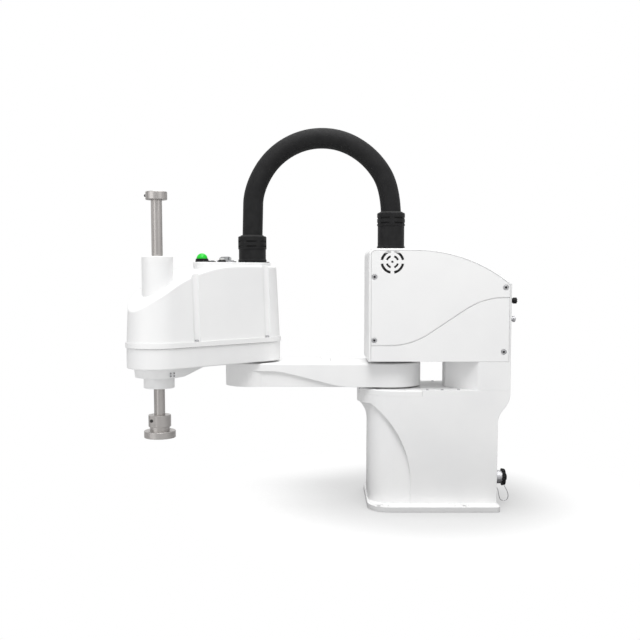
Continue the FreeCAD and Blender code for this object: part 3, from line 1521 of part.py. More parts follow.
user = Piece("user_connector")
long, wide = "signal_plate_length / 2", "signal_plate_width / 2"
user.pad(user.draw(level=DECK_TOP).rectangle(f"-{wide}", wide, f"-{long}", long), "signal_plate_height")
long, wide = "(signal_plate_length / 2 - 6)", "(signal_plate_width / 2 - 3)"
shell = user.draw(level=f"{DECK_TOP} + signal_plate_height").rectangle(f"-{wide}", wide, f"-{long}", long)
user.pad(shell, "signal_shell_height")
user.round("2", upright)
place_on_arm2(user.body, "signal_place", "-signal_across")


# Where the three air fittings stand on the deck: along the arm and across it
AIR_PLACES = ((86, -18), (101, -14), (46, 22))


def air_fittings():
    low, size = number(DECK_TOP), number("air_hexagon")
    step, top, radius = number("air_hexagon_height"), number("air_height"), number("air_body_radius")
    turns = [math.radians(60 * corner) for corner in range(7)]
    fittings = []
    for along, across in AIR_PLACES:
        corners = [point(along + size * math.cos(a), across + size * math.sin(a), low) for a in turns]
        hexagon = prism(Part.makePolygon(corners), point(0, 0, step))
        fittings.append(hexagon.fuse(cylinder(radius, low + step, low + top, along, across)))
    return Part.makeCompound(fittings)


shaped("air_fittings", air_fittings(), on_arm2=True)


# Hose: one arch from the tower to the outer arm, in a swivelling fitting at each end


def hose_fitting(label, low, height, radius, first_window):
    """A black fitting: a round foot, a barrel and a mouth whose band has windows for its latches."""
    bore = "hose_radius + socket_gap"
    top = f"{low} + {height}"
    piece = turned(
        label,
        ("hose_radius - 5", low),
        (f"{radius}", low),
        (f"{radius}", f"{low} + 6"),
        (f"{radius} - 1.2", f"{low} + 7"),
        (f"{radius} - 1.2", f"{top} - socket_depth - 8"),
        (f"{radius}", f"{top} - socket_depth - 7"),
        (f"{radius}", f"{top} - 1.5"),
        (f"{radius} - 1.5", top),
        (bore, top),
        (bore, f"{top} - socket_depth - seam_gap"),
        ("hose_radius - 5", f"{top} - socket_depth - seam_gap"),
    )
    deep, out, half = f"{radius} - window_depth", f"{radius} + 1", "window_width / 2"
    corners = [(deep, f"-{half}"), (out, f"-{half}"), (out, half), (deep, half)]
    corners = turned_corners(first_window, corners)
    for drop in ("window_drop + window_height", "window_drop + window_bar + 2 * window_height"):
        window = piece.draw(level=f"{top} - ({drop})").polygon(*corners)
        piece.repeat_round(piece.pocket(window, "window_height"), 6)
    return piece


hose_fitting("rear_hose_fitting", TOWER_TOP, "rear_fitting_height", "rear_fitting_radius", "0")
front_fitting = hose_fitting(
    "front_hose_fitting", DECK_TOP, "front_fitting_height", "front_fitting_radius", "90 - arm2_rest_angle"
)
place_on_arm2(front_fitting.body)


def cord_path(route):
    """Straight runs joined by tangent arcs, each arc as large as its two runs allow."""
    edges, radii = [], []
    last = route[0]
    for before, corner, after in zip(route, route[1:], route[2:]):
        inward, outward = (before - corner).normalize(), (after - corner).normalize()
        turn = math.pi - inward.getAngle(outward)
        trim = 0.45 * min(before.distanceToPoint(corner), corner.distanceToPoint(after))
        radii.append(trim / math.tan(turn / 2))
        start, end = corner + inward * trim, corner + outward * trim
        middle = (inward + outward).normalize()
        bulge = radii[-1] / math.cos(turn / 2) - radii[-1]
        edges.append(Part.makeLine(last, start))
        edges.append(Part.Arc(start, corner + middle * bulge, end).toShape())
        last = end
    edges.append(Part.makeLine(last, route[-1]))
    return Part.Wire(edges), radii


def cord(label, radius, route):
    path, radii = cord_path(route)
    profile = Part.Wire([Part.makeCircle(radius, route[0], route[1] - route[0])])
    tube = path.makePipeShell([profile], True, False)
    share = tube.Volume / (math.pi * radius**2 * path.Length)
    print(f"{label}: length {path.Length:.1f}, tightest radius {min(radii):.1f}, volume share {share:.4f}")
    return shaped(label, tube)


# The arch's points, chosen by hand: forward of the first joint, and height
HOSE_ROUTE = [
    (0, 556.5),
    (0, 620),
    (36.8, 683.7),
    (100.6, 720.5),
    (174.4, 720.5),
    (238.2, 683.7),
    (275, 620),
    (275.6, 562),
    (275, 510.5),
]
cord("hose", number("hose_radius"), [point(x, 0, z) for x, z in HOSE_ROUTE])

# The cap's tether, chosen by hand: backward of the first joint, and height
TETHER_ROUTE = [(-204.4, 37.2), (-207, 27), (-212, 12), (-222, 5.5), (-232, 13), (-231, 27), (-221, 36.6)]
cord("cap_tether", number("tether_radius"), [point(x, low_side, z) for x, z in TETHER_ROUTE])


# Every object must be sound before anything is written
doc.recompute()
for thing in doc.Objects:
    if "Invalid" in thing.State or "Error" in thing.State:
        raise RuntimeError(f"{thing.Name} failed: {thing.State}")
for thing in NODES:
    if thing.Shape.isNull() or not thing.Shape.isValid():
        raise RuntimeError(f"{thing.Label} has no valid shape")
os.makedirs("parts", exist_ok=True)
for thing in NODES:
    thing.Shape.exportStep(f"parts/{thing.Label}.step")
print(len(NODES), "pieces written")
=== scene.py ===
import math

import bmesh
import bpy
from mathutils import Matrix, Vector


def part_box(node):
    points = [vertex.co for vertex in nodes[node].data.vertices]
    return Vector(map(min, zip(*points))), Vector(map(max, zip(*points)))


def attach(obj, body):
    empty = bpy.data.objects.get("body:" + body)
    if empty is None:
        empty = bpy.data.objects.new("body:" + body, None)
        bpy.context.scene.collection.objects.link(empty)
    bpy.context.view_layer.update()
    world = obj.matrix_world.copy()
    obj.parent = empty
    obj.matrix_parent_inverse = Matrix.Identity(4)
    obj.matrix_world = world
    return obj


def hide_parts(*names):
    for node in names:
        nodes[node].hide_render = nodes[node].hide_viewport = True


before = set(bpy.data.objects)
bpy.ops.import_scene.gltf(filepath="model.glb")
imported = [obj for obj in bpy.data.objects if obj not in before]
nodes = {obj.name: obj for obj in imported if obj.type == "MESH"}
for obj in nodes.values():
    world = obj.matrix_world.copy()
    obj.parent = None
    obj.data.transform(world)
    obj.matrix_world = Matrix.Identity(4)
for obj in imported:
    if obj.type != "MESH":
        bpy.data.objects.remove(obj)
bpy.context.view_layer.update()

# Camera: it looks square at the robot's side from a little above, with the tool to the left.
# Its place and lens were solved from the level rims of the outer arm in the photograph.
tilt_down = math.radians(4.93)
camera_data = bpy.data.cameras.new("camera")
camera_data.lens = 48.94
camera_data.sensor_width = 36
camera_data.shift_y = 0.0516
camera_data.clip_end = 60
camera = bpy.data.objects.new("camera", camera_data)
camera.location = (0.1407, 1.740, 0.446)
camera.rotation_euler = (math.pi / 2 - tilt_down, 0, math.pi)
bpy.context.scene.collection.objects.link(camera)
bpy.context.scene.camera = camera


# Cable hose: one arch of smooth black conduit from the tower to the outer arm. Both ends turn in
# their fittings, so it goes with the inner arm. Its route is the CAD tube's, moved by 1 to 3 mm to
# where the photograph has it.
hose_route = [
    (0, 0.5565),
    (-0.0002, 0.620),
    (0.0382, 0.6822),
    (0.1005, 0.7195),
    (0.1730, 0.7195),
    (0.2355, 0.6832),
    (0.2722, 0.620),
    (0.2736, 0.562),
    (0.275, 0.5105),
]
hose_radius = 0.0199


def lay_cord(name, points, radius, ring_steps):
    """A round cord on one smooth spline whose control points are the route's points."""
    line = bpy.data.curves.new(name, "CURVE")
    line.dimensions = "3D"
    spline = line.splines.new("NURBS")
    spline.points.add(len(points) - 1)
    for control, place in zip(spline.points, points):
        control.co = (*place, 1)
    spline.order_u = 3
    spline.use_endpoint_u = True
    spline.resolution_u = 12
    line.bevel_depth = radius
    line.bevel_resolution = ring_steps
    line.use_fill_caps = True
    cord = bpy.data.objects.new(name, line)
    bpy.context.scene.collection.objects.link(cord)
    return cord


def new_finish(name, colour, roughness, metallic=0.0):
    """A material with its shader, its node tree and the object's own coordinates."""
    finish = bpy.data.materials.new(name)
    finish.use_nodes = True
    tree = finish.node_tree
    shader = tree.nodes["Principled BSDF"]
    shader.inputs["Base Color"].default_value = (*colour, 1)
    shader.inputs["Roughness"].default_value = roughness
    shader.inputs["Metallic"].default_value = metallic
    place = tree.nodes.new("ShaderNodeTexCoord").outputs["Object"]
    return finish, tree, shader, place


def grain(tree, place, scale, detail=3.0, stretch=(1, 1, 1)):
    """Fine noise in the object's own metres, drawn out along an axis where stretch is small."""
    turn = tree.nodes.new("ShaderNodeMapping")
    turn.inputs["Scale"].default_value = stretch
    tree.links.new(place, turn.inputs["Vector"])
    noise = tree.nodes.new("ShaderNodeTexNoise")
    noise.inputs["Scale"].default_value = scale
    noise.inputs["Detail"].default_value = detail
    tree.links.new(turn.outputs["Vector"], noise.inputs["Vector"])
    return noise.outputs["Fac"]


def vary_colour(tree, shader, pattern, dark, light):
    """The base colour drifts between two near tones."""
    ramp = tree.nodes.new("ShaderNodeValToRGB")
    ramp.color_ramp.elements[0].position = 0.35
    ramp.color_ramp.elements[0].color = (*dark, 1)
    ramp.color_ramp.elements[1].position = 0.65
    ramp.color_ramp.elements[1].color = (*light, 1)
    tree.links.new(pattern, ramp.inputs["Fac"])
    tree.links.new(ramp.outputs["Color"], shader.inputs["Base Color"])


def vary_roughness(tree, shader, pattern, low, high):
    """The gloss drifts a little across the surface."""
    span = tree.nodes.new("ShaderNodeMapRange")
    span.inputs["From Min"].default_value = 0.3
    span.inputs["From Max"].default_value = 0.7
    span.inputs["To Min"].default_value = low
    span.inputs["To Max"].default_value = high
    tree.links.new(pattern, span.inputs["Value"])
    tree.links.new(span.outputs["Result"], shader.inputs["Roughness"])


def emboss(tree, shader, pattern, height, edge=0.0):
    """Real relief from the pattern, and edges broken to a small radius."""
    bump = tree.nodes.new("ShaderNodeBump")
    bump.inputs["Distance"].default_value = height
    bump.inputs["Strength"].default_value = 0.6
    tree.links.new(pattern, bump.inputs["Height"])
    if edge:
        soft = tree.nodes.new("ShaderNodeBevel")
        soft.samples = 4
        soft.inputs["Radius"].default_value = edge
        tree.links.new(soft.outputs["Normal"], bump.inputs["Normal"])
    tree.links.new(bump.outputs["Normal"], shader.inputs["Normal"])


hose_black, tree, shader, place = new_finish("hose black", (0.013, 0.013, 0.0135), 0.62)
shader.inputs["Specular IOR Level"].default_value = 0.14
vary_colour(tree, shader, grain(tree, place, 60), (0.012, 0.012, 0.0125), (0.016, 0.016, 0.0165))
vary_roughness(tree, shader, grain(tree, place, 180), 0.56, 0.68)
emboss(tree, shader, grain(tree, place, 900), 0.00008)

hose = lay_cord("cable_hose", [(x, 0, z) for x, z in hose_route], hose_radius, 12)
hose.data.materials.append(hose_black)
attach(hose, "inner_arm")
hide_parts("hose")


# Cap tether: a thin braided wire that keeps the connector's dust cap with the base. It is crimped
# to the connector's flange and to the cap's rim, and it hangs in a short loop between them.
tether_route = [
    (-0.2044, 0.0372),
    (-0.2120, 0.0310),
    (-0.2135, 0.0170),
    (-0.2180, 0.0058),
    (-0.2310, 0.0068),
    (-0.2335, 0.0220),
    (-0.2240, 0.0366),
]
tether_side = 0.045
wire, tree, shader, place = new_finish("tether wire", (0.55, 0.55, 0.56), 0.4, 1.0)
vary_roughness(tree, shader, grain(tree, place, 1500), 0.3, 0.5)
emboss(tree, shader, grain(tree, place, 2600, stretch=(1, 1, 0.4)), 0.0001)
tether = lay_cord("dust_cap_tether", [(x, tether_side, z) for x, z in tether_route], 0.0008, 4)
tether.data.materials.append(wire)
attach(tether, "base")
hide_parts("cap_tether")


# Castings: the base, its neck and tower, both arms and the pivot collar are cast aluminium with
# a white powder coat. The coat has a fine orange peel and rounds every machined edge a little.
def finish_nodes(finish, *names):
    """Gives CAD nodes their finish in every material place they have."""
    for name in names:
        for place in nodes[name].material_slots:
            place.material = finish


powder_white, tree, shader, place = new_finish("powder coat white", (0.83, 0.83, 0.83), 0.5)
shader.inputs["Specular IOR Level"].default_value = 0.4
vary_colour(tree, shader, grain(tree, place, 9), (0.815, 0.816, 0.818), (0.85, 0.85, 0.848))
vary_roughness(tree, shader, grain(tree, place, 260), 0.46, 0.56)
emboss(tree, shader, grain(tree, place, 1100), 0.00005, edge=0.0011)
finish_nodes(
    powder_white,
    "base_casting",
    "j1_collar_cover",
    "neck_casting",
    "tower_casting",
    "link1_casting",
    "j2_stop_block",
    "link2_casting",
    "connector_plate",
    "spline_nut",
)


# Covers: the outer arm's hood, the tower's side covers, the arm's bottom plate, the deck and the
# shaft's cap are moulded in white plastic, a shade smoother than the castings beside them.
moulded_white, tree, shader, place = new_finish("moulded white", (0.84, 0.84, 0.84), 0.42)
shader.inputs["Specular IOR Level"].default_value = 0.45
vary_colour(tree, shader, grain(tree, place, 7), (0.828, 0.828, 0.83), (0.858, 0.858, 0.856))
vary_roughness(tree, shader, grain(tree, place, 300), 0.38, 0.46)
emboss(tree, shader, grain(tree, place, 1700, detail=2), 0.00003, edge=0.0009)
finish_nodes(
    moulded_white,
    "tower_cover_left",
    "tower_cover_right",
    "link2_cover",
    "deck_plate",
    "sleeve_cap",
    "link1_bottom_cover",
)


# Shaft, collar and tool flange: hardened steel, ground round on the shaft and turned on the
# flange, so the fine marks run round the axis and draw the light into an upright band.
ground_steel, tree, shader, place = new_finish("ground steel", (0.5, 0.47, 0.45), 0.34, 1.0)
marks = grain(tree, place, 60, detail=4, stretch=(1, 1, 60))
vary_colour(tree, shader, marks, (0.405, 0.388, 0.376), (0.44, 0.42, 0.408))
vary_roughness(tree, shader, marks, 0.3, 0.38)
emboss(tree, shader, marks, 0.000006, edge=0.0005)
finish_nodes(
    ground_steel,
    "spline_shaft",
    "top_stop_collar",
    "tool_flange",
    "ball_nut",
    "spline_bearing",
    "screw_bearing",
)


# Screws' finishes: black oxide steel, with the slight brown bloom that the oil leaves, and plain
# zinc, which the plated connectors have too. The black oxide is also laid in every screw's
# socket as painted shade.
black_oxide_and_socket_shade, tree, shader, place = new_finish("black oxide", (0.045, 0.045, 0.047), 0.45, 0.7)
vary_colour(tree, shader, grain(tree, place, 500), (0.035, 0.035, 0.037), (0.06, 0.057, 0.055))
emboss(tree, shader, grain(tree, place, 2400), 0.00002, edge=0.0003)
zinc, tree, shader, place = new_finish("zinc screw", (0.5, 0.5, 0.52), 0.35, 1.0)
vary_colour(tree, shader, grain(tree, place, 700), (0.42, 0.42, 0.44), (0.55, 0.55, 0.56))
emboss(tree, shader, grain(tree, place, 2000), 0.00002, edge=0.0003)
finish_nodes(zinc, "base_connector", "j1_collar_screws", "user_connector", "lower_connector")


# Cap screws with hexagon sockets: in the tower's side covers, at the feet of the hood's flutes, on
# the deck's rim, the rear plate's corners, the throat's floor, the two clamps of the shaft and the
# side of the boss. They are bought fasteners, and each socket's walls and floor are painted black
# as painted shade in the recess.
elbow_x = 0.275
arm_angle = math.radians(44.7)


def on_arm(along, across, level):
    """A place on the outer arm, from its pivot along and across it."""
    x = elbow_x + along * math.cos(arm_angle) - across * math.sin(arm_angle)
    return (x, along * math.sin(arm_angle) + across * math.cos(arm_angle), level)


def turned_stub(segments, bottom, top, depth):
    """A round stub about Z, halfway through the origin, from its two radii and its depth."""
    stub = bmesh.new()
    bmesh.ops.create_cone(stub, cap_ends=True, segments=segments, radius1=bottom, radius2=top, depth=depth)
    return stub


def turned_ring(section, steps):
    """A ring about Z, from its section's points as radius and height."""
    ring = bmesh.new()
    corners = [ring.verts.new((radius, 0, level)) for radius, level in section]
    outline = [ring.edges.new(pair) for pair in zip(corners, corners[1:] + corners[:1])]
    bmesh.ops.spin(
        ring,
        geom=corners + outline,
        cent=(0, 0, 0),
        axis=(0, 0, 1),
        angle=2 * math.pi,
        steps=steps,
        use_merge=True,
    )
    bmesh.ops.remove_doubles(ring, verts=ring.verts, dist=0.00001)
    return ring


def step_top(shape, steps):
    """Insets the highest face again and again. A step is how far in and how far out it goes."""
    top = max(shape.faces, key=lambda face: face.calc_center_median().z)
    for thickness, depth in steps:
        bmesh.ops.inset_region(shape, faces=[top], thickness=thickness, depth=depth)


def finished_piece(name, shape, finish, body, recess_shade=None):
    """A mesh piece with its finish, riding on its body. Recess shade is a second, dark finish that paints
    shade into its recesses.
    """
    bmesh.ops.recalc_face_normals(shape, faces=shape.faces)
    mesh = bpy.data.meshes.new(name)
    shape.to_mesh(mesh)
    shape.free()
    mesh.materials.append(finish)
    if recess_shade:
        mesh.materials.append(recess_shade)
    piece = bpy.data.objects.new(name, mesh)
    bpy.context.scene.collection.objects.link(piece)
    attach(piece, body)
    return piece


def stand_on(whole, part, seat, facing):
    """Sets a part that was built on its own axis onto its seat, and adds it to the whole."""
    turn = Vector(facing).to_track_quat("Z", "Y").to_matrix()
    bmesh.ops.rotate(part, matrix=turn, verts=part.verts)
    bmesh.ops.translate(part, vec=seat, verts=part.verts)
    joined = bpy.data.meshes.new("joined")
    part.to_mesh(joined)
    part.free()
    whole.from_mesh(joined)
    bpy.data.meshes.remove(joined)


def cap_screws(name, spots, head, height, finish, body, shank=None):
    """Cap screws with hexagon sockets. A spot is the seat's centre and the way the head faces.

    A shank is its radius and its length, where it is modelled.
    """
    whole = bmesh.new()
    for seat, facing in spots:
        one = bmesh.new()
        bmesh.ops.create_circle(one, segments=6, radius=0.55 * head)
        bmesh.ops.subdivide_edges(one, edges=one.edges[:], cuts=3)
        socket = one.edges[:]
        hexagon = one.verts[:]
        bmesh.ops.create_circle(one, segments=24, radius=head)
        rim = [edge for edge in one.edges if edge not in socket]
        bmesh.ops.bridge_loops(one, edges=socket + rim)
        for loop, depth in ((rim, height), (socket, 0.6 * height)):
            sunk = bmesh.ops.extrude_edge_only(one, edges=loop)["geom"]
            corners = [v for v in sunk if isinstance(v, bmesh.types.BMVert)]
            bmesh.ops.translate(one, vec=(0, 0, -depth), verts=corners)
            bottom = [e for e in sunk if isinstance(e, bmesh.types.BMEdge)]
            bmesh.ops.contextual_create(one, geom=bottom)
        # Each socket's walls and floor take the second finish, black: painted shade in the recess.
        for face in one.faces:
            if all(v in corners or v in hexagon for v in face.verts):
                face.material_index = 1
        bmesh.ops.recalc_face_normals(one, faces=one.faces)
        bmesh.ops.bevel(
            one,
            geom=rim,
            offset=0.16 * head,
            offset_type="OFFSET",
            affect="EDGES",
            segments=2,
            profile=0.5,
            material=-1,
        )
        bmesh.ops.translate(one, vec=(0, 0, height), verts=one.verts)
        stand_on(whole, one, seat, facing)
        if shank:
            radius, length = shank
            rod = turned_stub(24, radius, radius, length)
            bmesh.ops.translate(rod, vec=(0, 0, -length / 2), verts=rod.verts)
            stand_on(whole, rod, seat, facing)
    return finished_piece(name, whole, finish, body, recess_shade=black_oxide_and_socket_shade)


# The side covers' screws are sunk in their seats, almost level with the cover.
head_height = 0.0022
panel_spots = ((0.037, 0.448), (0.037, 0.327), (-0.213, 0.428), (-0.211, 0.305))
outer_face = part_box("tower_cover_screws")[1][1]
spots = [
    ((x, side * (outer_face - head_height), z), (0, side, 0))
    for side in (-1, 1)
    for x, z in panel_spots
]
panel_heads = cap_screws(
    "panel_screws", spots, 0.0046, head_height, zinc, "base", shank=(0.0025, 0.013)
)
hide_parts("tower_cover_screws")

# The hood's screws stand on its rim, one in each flute.
head_height = 0.0035
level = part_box("cover_screws")[1][2] - head_height
spots = [
    (on_arm(along, across, level), (0, 0, 1))
    for along in (0.007, 0.177)
    for across in (-0.052, 0.052)
]
flute_heads = cap_screws(
    "flute_screws", spots, 0.0036, head_height, zinc, "outer_arm", shank=(0.002, 0.0055)
)
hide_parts("cover_screws")

# The deck, the rear plate and the throat's floor have small ones on their faces.
deck_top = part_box("deck_plate")[1][2]
deck_spots = (
    (-0.020, 0.024),
    (-0.020, -0.024),
    (0.066, 0.026),
    (0.062, -0.0285),
    (0.110, 0.019),
    (0.112, -0.019),
)
spots = [(on_arm(along, across, deck_top), (0, 0, 1)) for along, across in deck_spots]
cap_screws("deck_screws", spots, 0.0026, 0.0018, black_oxide_and_socket_shade, "outer_arm")
plate_low, plate_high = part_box("connector_plate")
inset = 0.006
spots = [
    ((plate_low[0], across, level), (-1, 0, 0))
    for across in (plate_low[1] + inset, plate_high[1] - inset)
    for level in (plate_low[2] + inset, plate_high[2] - inset)
]
cap_screws("connector_plate_screws", spots, 0.0028, 0.0017, black_oxide_and_socket_shade, "base")
floor_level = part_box("base_casting")[1][2]
from_middle = 0.073
spots = [
    ((along, side * from_middle, floor_level), (0, 0, 1))
    for side in (-1, 1)
    for along in (-0.067, -0.095, -0.127)
]
cap_screws("throat_floor_screws", spots, 0.003, 0.0014, zinc, "base")

# The shaft's two clamps close on a screw beside the slit. The collar's screw is on the far side.
shaft_x, shaft_y, _ = on_arm(0.225, 0, 0)
collar_low, collar_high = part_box("top_stop_collar")
level = (collar_low[2] + collar_high[2]) / 2
along_slit, beside_slit = (0.7108, 0.7034), (0.7034, -0.7108)
out_from_axis, slit_to_seat = 0.0148, 0.0098
seat = [
    centre + out_from_axis * along + slit_to_seat * beside
    for centre, along, beside in zip((shaft_x, shaft_y), along_slit, beside_slit)
]
spots = [((*seat, level), (*beside_slit, 0))]
cap_screws("collar_clamp_screw", spots, 0.0027, 0.0035, black_oxide_and_socket_shade, "quill")
below_hub_top = 0.0098
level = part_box("tool_flange")[1][2] - below_hub_top
spots = [((shaft_x + 0.0125, shaft_y + 0.0142, level), (0, 1, 0))]
cap_screws("tool_clamp_screw", spots, 0.0031, 0.0012, black_oxide_and_socket_shade, "quill")

# The boss has two pairs of set screws on the near side.
boss_radius = 0.0448
spots = []
for degrees in (127.5, 136.5):
    turn = math.radians(degrees)
    facing = (math.cos(turn), math.sin(turn), 0)
    seat = (shaft_x + boss_radius * facing[0], shaft_y + boss_radius * facing[1])
    spots += [((*seat, level), facing) for level in (0.2757, 0.2709)]
cap_screws("boss_set_screws", spots, 0.0019, 0.0009, zinc, "outer_arm")


# Drives: reducers, mounts, pulleys and the output flanges are machined aluminium, and the motors
# are black anodised with a fine satin.
machined, tree, shader, place = new_finish("machined aluminium", (0.58, 0.575, 0.57), 0.38, 1.0)
turned_marks = grain(tree, place, 45, detail=4, stretch=(1, 1, 30))
vary_roughness(tree, shader, turned_marks, 0.3, 0.48)
emboss(tree, shader, turned_marks, 0.00002, edge=0.0005)
anodised, tree, shader, place = new_finish("black anodised", (0.03, 0.03, 0.033), 0.48, 0.4)
vary_roughness(tree, shader, grain(tree, place, 500), 0.4, 0.55)
emboss(tree, shader, grain(tree, place, 1500), 0.00003, edge=0.0006)
finish_nodes(
    machined,
    "j1_reducer",
    "j1_output_flange",
    "j2_pivot_flange",
    "j2_reducer",
    "nut_housing",
    "j3_motor_mount",
    "j4_motor_mount",
    "spline_pulley",
    "screw_pulley",
    "j3_motor_pulley",
    "j4_motor_pulley",
    "power_supply",
)
finish_nodes(anodised, "j1_motor", "j2_motor", "j3_motor", "j4_motor")


# Belts, seal and board: black toothed rubber, a flat black gasket under the hood, and a green
# circuit board on the tower's web.
rubber, tree, shader, place = new_finish("black rubber", (0.02, 0.02, 0.02), 0.75)
vary_roughness(tree, shader, grain(tree, place, 400), 0.68, 0.82)
emboss(tree, shader, grain(tree, place, 1800), 0.00006)
circuit_board, tree, shader, place = new_finish("circuit board", (0.03, 0.13, 0.07), 0.4)
vary_colour(tree, shader, grain(tree, place, 240), (0.02, 0.1, 0.05), (0.05, 0.17, 0.09))
emboss(tree, shader, grain(tree, place, 900), 0.0001)
finish_nodes(rubber, "j3_belt", "j4_belt", "cover_seal")
finish_nodes(circuit_board, "drive_board")


# Black fittings: the hose's two glands, the lamp's foot, the button's ring and the rear sockets
# are glass-filled nylon, matt with a faint grain.
nylon_black, tree, shader, place = new_finish("black nylon", (0.013, 0.013, 0.0135), 0.55)
shader.inputs["Specular IOR Level"].default_value = 0.12
vary_colour(tree, shader, grain(tree, place, 80), (0.012, 0.012, 0.0125), (0.017, 0.017, 0.0175))
vary_roughness(tree, shader, grain(tree, place, 350), 0.42, 0.58)
emboss(tree, shader, grain(tree, place, 1600), 0.00005, edge=0.0007)
finish_nodes(
    nylon_black,
    "front_hose_fitting",
    "rear_hose_fitting",
    "lamp_base",
    "button_bezel",
    "upper_connector",
)


# Seals of the hose: each gland's mouth closes round the conduit with a rolled lip of black rubber,
# which is pushed into the mouth and keeps dust out where the hose turns.
lip_height = 0.0024
lip_section = ((0.0001, -0.001), (0.0036, -0.0004), (0.0034, 0.5), (0.0018, 0.9), (0.0001, 0.6))
for name, gland, body, centre in (
    ("rear_hose_seal", "rear_hose_fitting", "base", (0, 0)),
    ("front_hose_seal", "front_hose_fitting", "outer_arm", (elbow_x, 0)),
):
    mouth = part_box(gland)[1][2]
    lip = turned_ring([(hose_radius + out, up * lip_height) for out, up in lip_section], 64)
    bmesh.ops.translate(lip, vec=(*centre, mouth), verts=lip.verts)
    finished_piece(name, lip, rubber, body)


# Dust cap: a moulded screw cap with grip notches round its rim and a knob in its middle, on the
# socket's plated thread. It stays with the base on its tether while the socket is in use.
replaced_low, replaced_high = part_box("connector_cap")
mouth_x = replaced_high[0]
cap_across, cap_level = [(low + high) / 2 for low, high in zip(replaced_low[1:], replaced_high[1:])]
cap_radius = (replaced_high[1] - replaced_low[1]) / 2
thread_radius = 0.72 * cap_radius
thread_length, cap_length = 0.0036, 0.0064
knob_length = mouth_x - replaced_low[0] - thread_length - cap_length
cap = turned_stub(32, cap_radius, cap_radius * 0.93, cap_length)
bmesh.ops.translate(cap, vec=(0, 0, cap_length / 2), verts=cap.verts)
cap.faces.ensure_lookup_table()
walls = [face for face in cap.faces if abs(face.normal.z) < 0.5]
bmesh.ops.inset_individual(cap, faces=walls[::2], thickness=0.0007, depth=-0.0014)
step_top(cap, ((0.004, -0.0012), (0.005, 0), (0.0009, knob_length + 0.0012)))
sharp = [edge for edge in cap.edges if len(edge.link_faces) == 2 and edge.calc_face_angle() > 0.7]
bmesh.ops.bevel(
    cap,
    geom=sharp,
    offset=0.0003,
    offset_type="OFFSET",
    affect="EDGES",
    segments=2,
    profile=0.5,
    material=-1,
)
whole = bmesh.new()
stand_on(whole, cap, (mouth_x - thread_length, cap_across, cap_level), (-1, 0, 0))
dust_cap = finished_piece("dust_cap", whole, nylon_black, "base")
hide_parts("connector_cap")
thread = turned_stub(40, thread_radius, thread_radius, thread_length)
whole = bmesh.new()
stand_on(whole, thread, (mouth_x - thread_length / 2, cap_across, cap_level), (-1, 0, 0))
finished_piece("socket_thread", whole, zinc, "base")


# Air fittings: three low black push-in sockets on the deck. Each has a release ring in its mouth,
# and the tube's bore shows as a dark hole.
socket_height, ring_height = 0.0026, 0.001
mouth_steps = (
    (0.0009, 0.0003),
    (0.0006, -0.0003),
    (0.0002, ring_height),
    (0.0012, 0),
    (0.0002, -0.0016),
)
sockets = bmesh.new()
for along, across in ((0.086, -0.018), (0.101, -0.014), (0.046, 0.022)):
    barrel = turned_stub(32, 0.0056, 0.0054, socket_height)
    step_top(barrel, mouth_steps)
    bmesh.ops.translate(barrel, vec=(0, 0, socket_height / 2), verts=barrel.verts)
    stand_on(sockets, barrel, on_arm(along, across, deck_top), (0, 0, 1))
air_sockets = finished_piece("air_sockets", sockets, nylon_black, "outer_arm")
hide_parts("air_fittings")


# Signal socket: a black insert with two rows of pin holes in the plated shell, and a hexagon stud
# at each end that takes the plug's screws.
socket_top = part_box("user_connector")[1][2]
insert = bmesh.new()
bmesh.ops.create_grid(insert, x_segments=8, y_segments=2, size=0.5)
bmesh.ops.scale(insert, vec=(0.021, 0.0066, 1), verts=insert.verts)
bmesh.ops.inset_individual(insert, faces=insert.faces[:], thickness=0.0007)
holes = sorted(insert.faces, key=lambda face: face.calc_area(), reverse=True)[:16]
bmesh.ops.inset_individual(insert, faces=holes, thickness=0.0001, depth=-0.0008)
bmesh.ops.rotate(insert, matrix=Matrix.Rotation(math.pi / 2, 3, "Z"), verts=insert.verts)
bmesh.ops.translate(insert, vec=(0, 0, 0.0009), verts=insert.verts)
bmesh.ops.rotate(insert, matrix=Matrix.Rotation(arm_angle, 3, "Z"), verts=insert.verts)
bmesh.ops.translate(insert, vec=on_arm(0.064, -0.006, socket_top), verts=insert.verts)
finished_piece("signal_insert", insert, nylon_black, "outer_arm")
studs = bmesh.new()
stud_height = 0.005
for across in (-0.021, 0.009):
    stud = turned_stub(6, 0.0026, 0.0026, stud_height)
    step_top(stud, ((0.0010, 0), (0.0001, -0.0025)))
    bmesh.ops.translate(stud, vec=(0, 0, stud_height / 2), verts=stud.verts)
    stand_on(studs, stud, on_arm(0.064, across, deck_top + 0.004), (0, 0, 1))
finished_piece("signal_studs", studs, zinc, "outer_arm")


# Rear sockets' contacts: a black insert with plated pins looks out of each of the two sockets on
# the rear plate. The pins are turned brass, tinned.
pin_count, pin_circle = 5, 0.0028
inserts, pins = bmesh.new(), bmesh.new()
for socket in ("upper_connector", "lower_connector"):
    low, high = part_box(socket)
    centre = (low[0], (low[1] + high[1]) / 2, (low[2] + high[2]) / 2)
    stand_on(inserts, turned_stub(32, 0.0048, 0.0046, 0.0012), centre, (-1, 0, 0))
    for step in range(pin_count):
        turn = 2 * math.pi * step / pin_count
        place = (pin_circle * math.cos(turn), pin_circle * math.sin(turn), 0.001)
        pin = turned_stub(10, 0.0006, 0.0004, 0.0022)
        bmesh.ops.translate(pin, vec=place, verts=pin.verts)
        stand_on(pins, pin, centre, (-1, 0, 0))
finished_piece("rear_socket_inserts", inserts, nylon_black, "base")
finished_piece("rear_socket_pins", pins, zinc, "base")


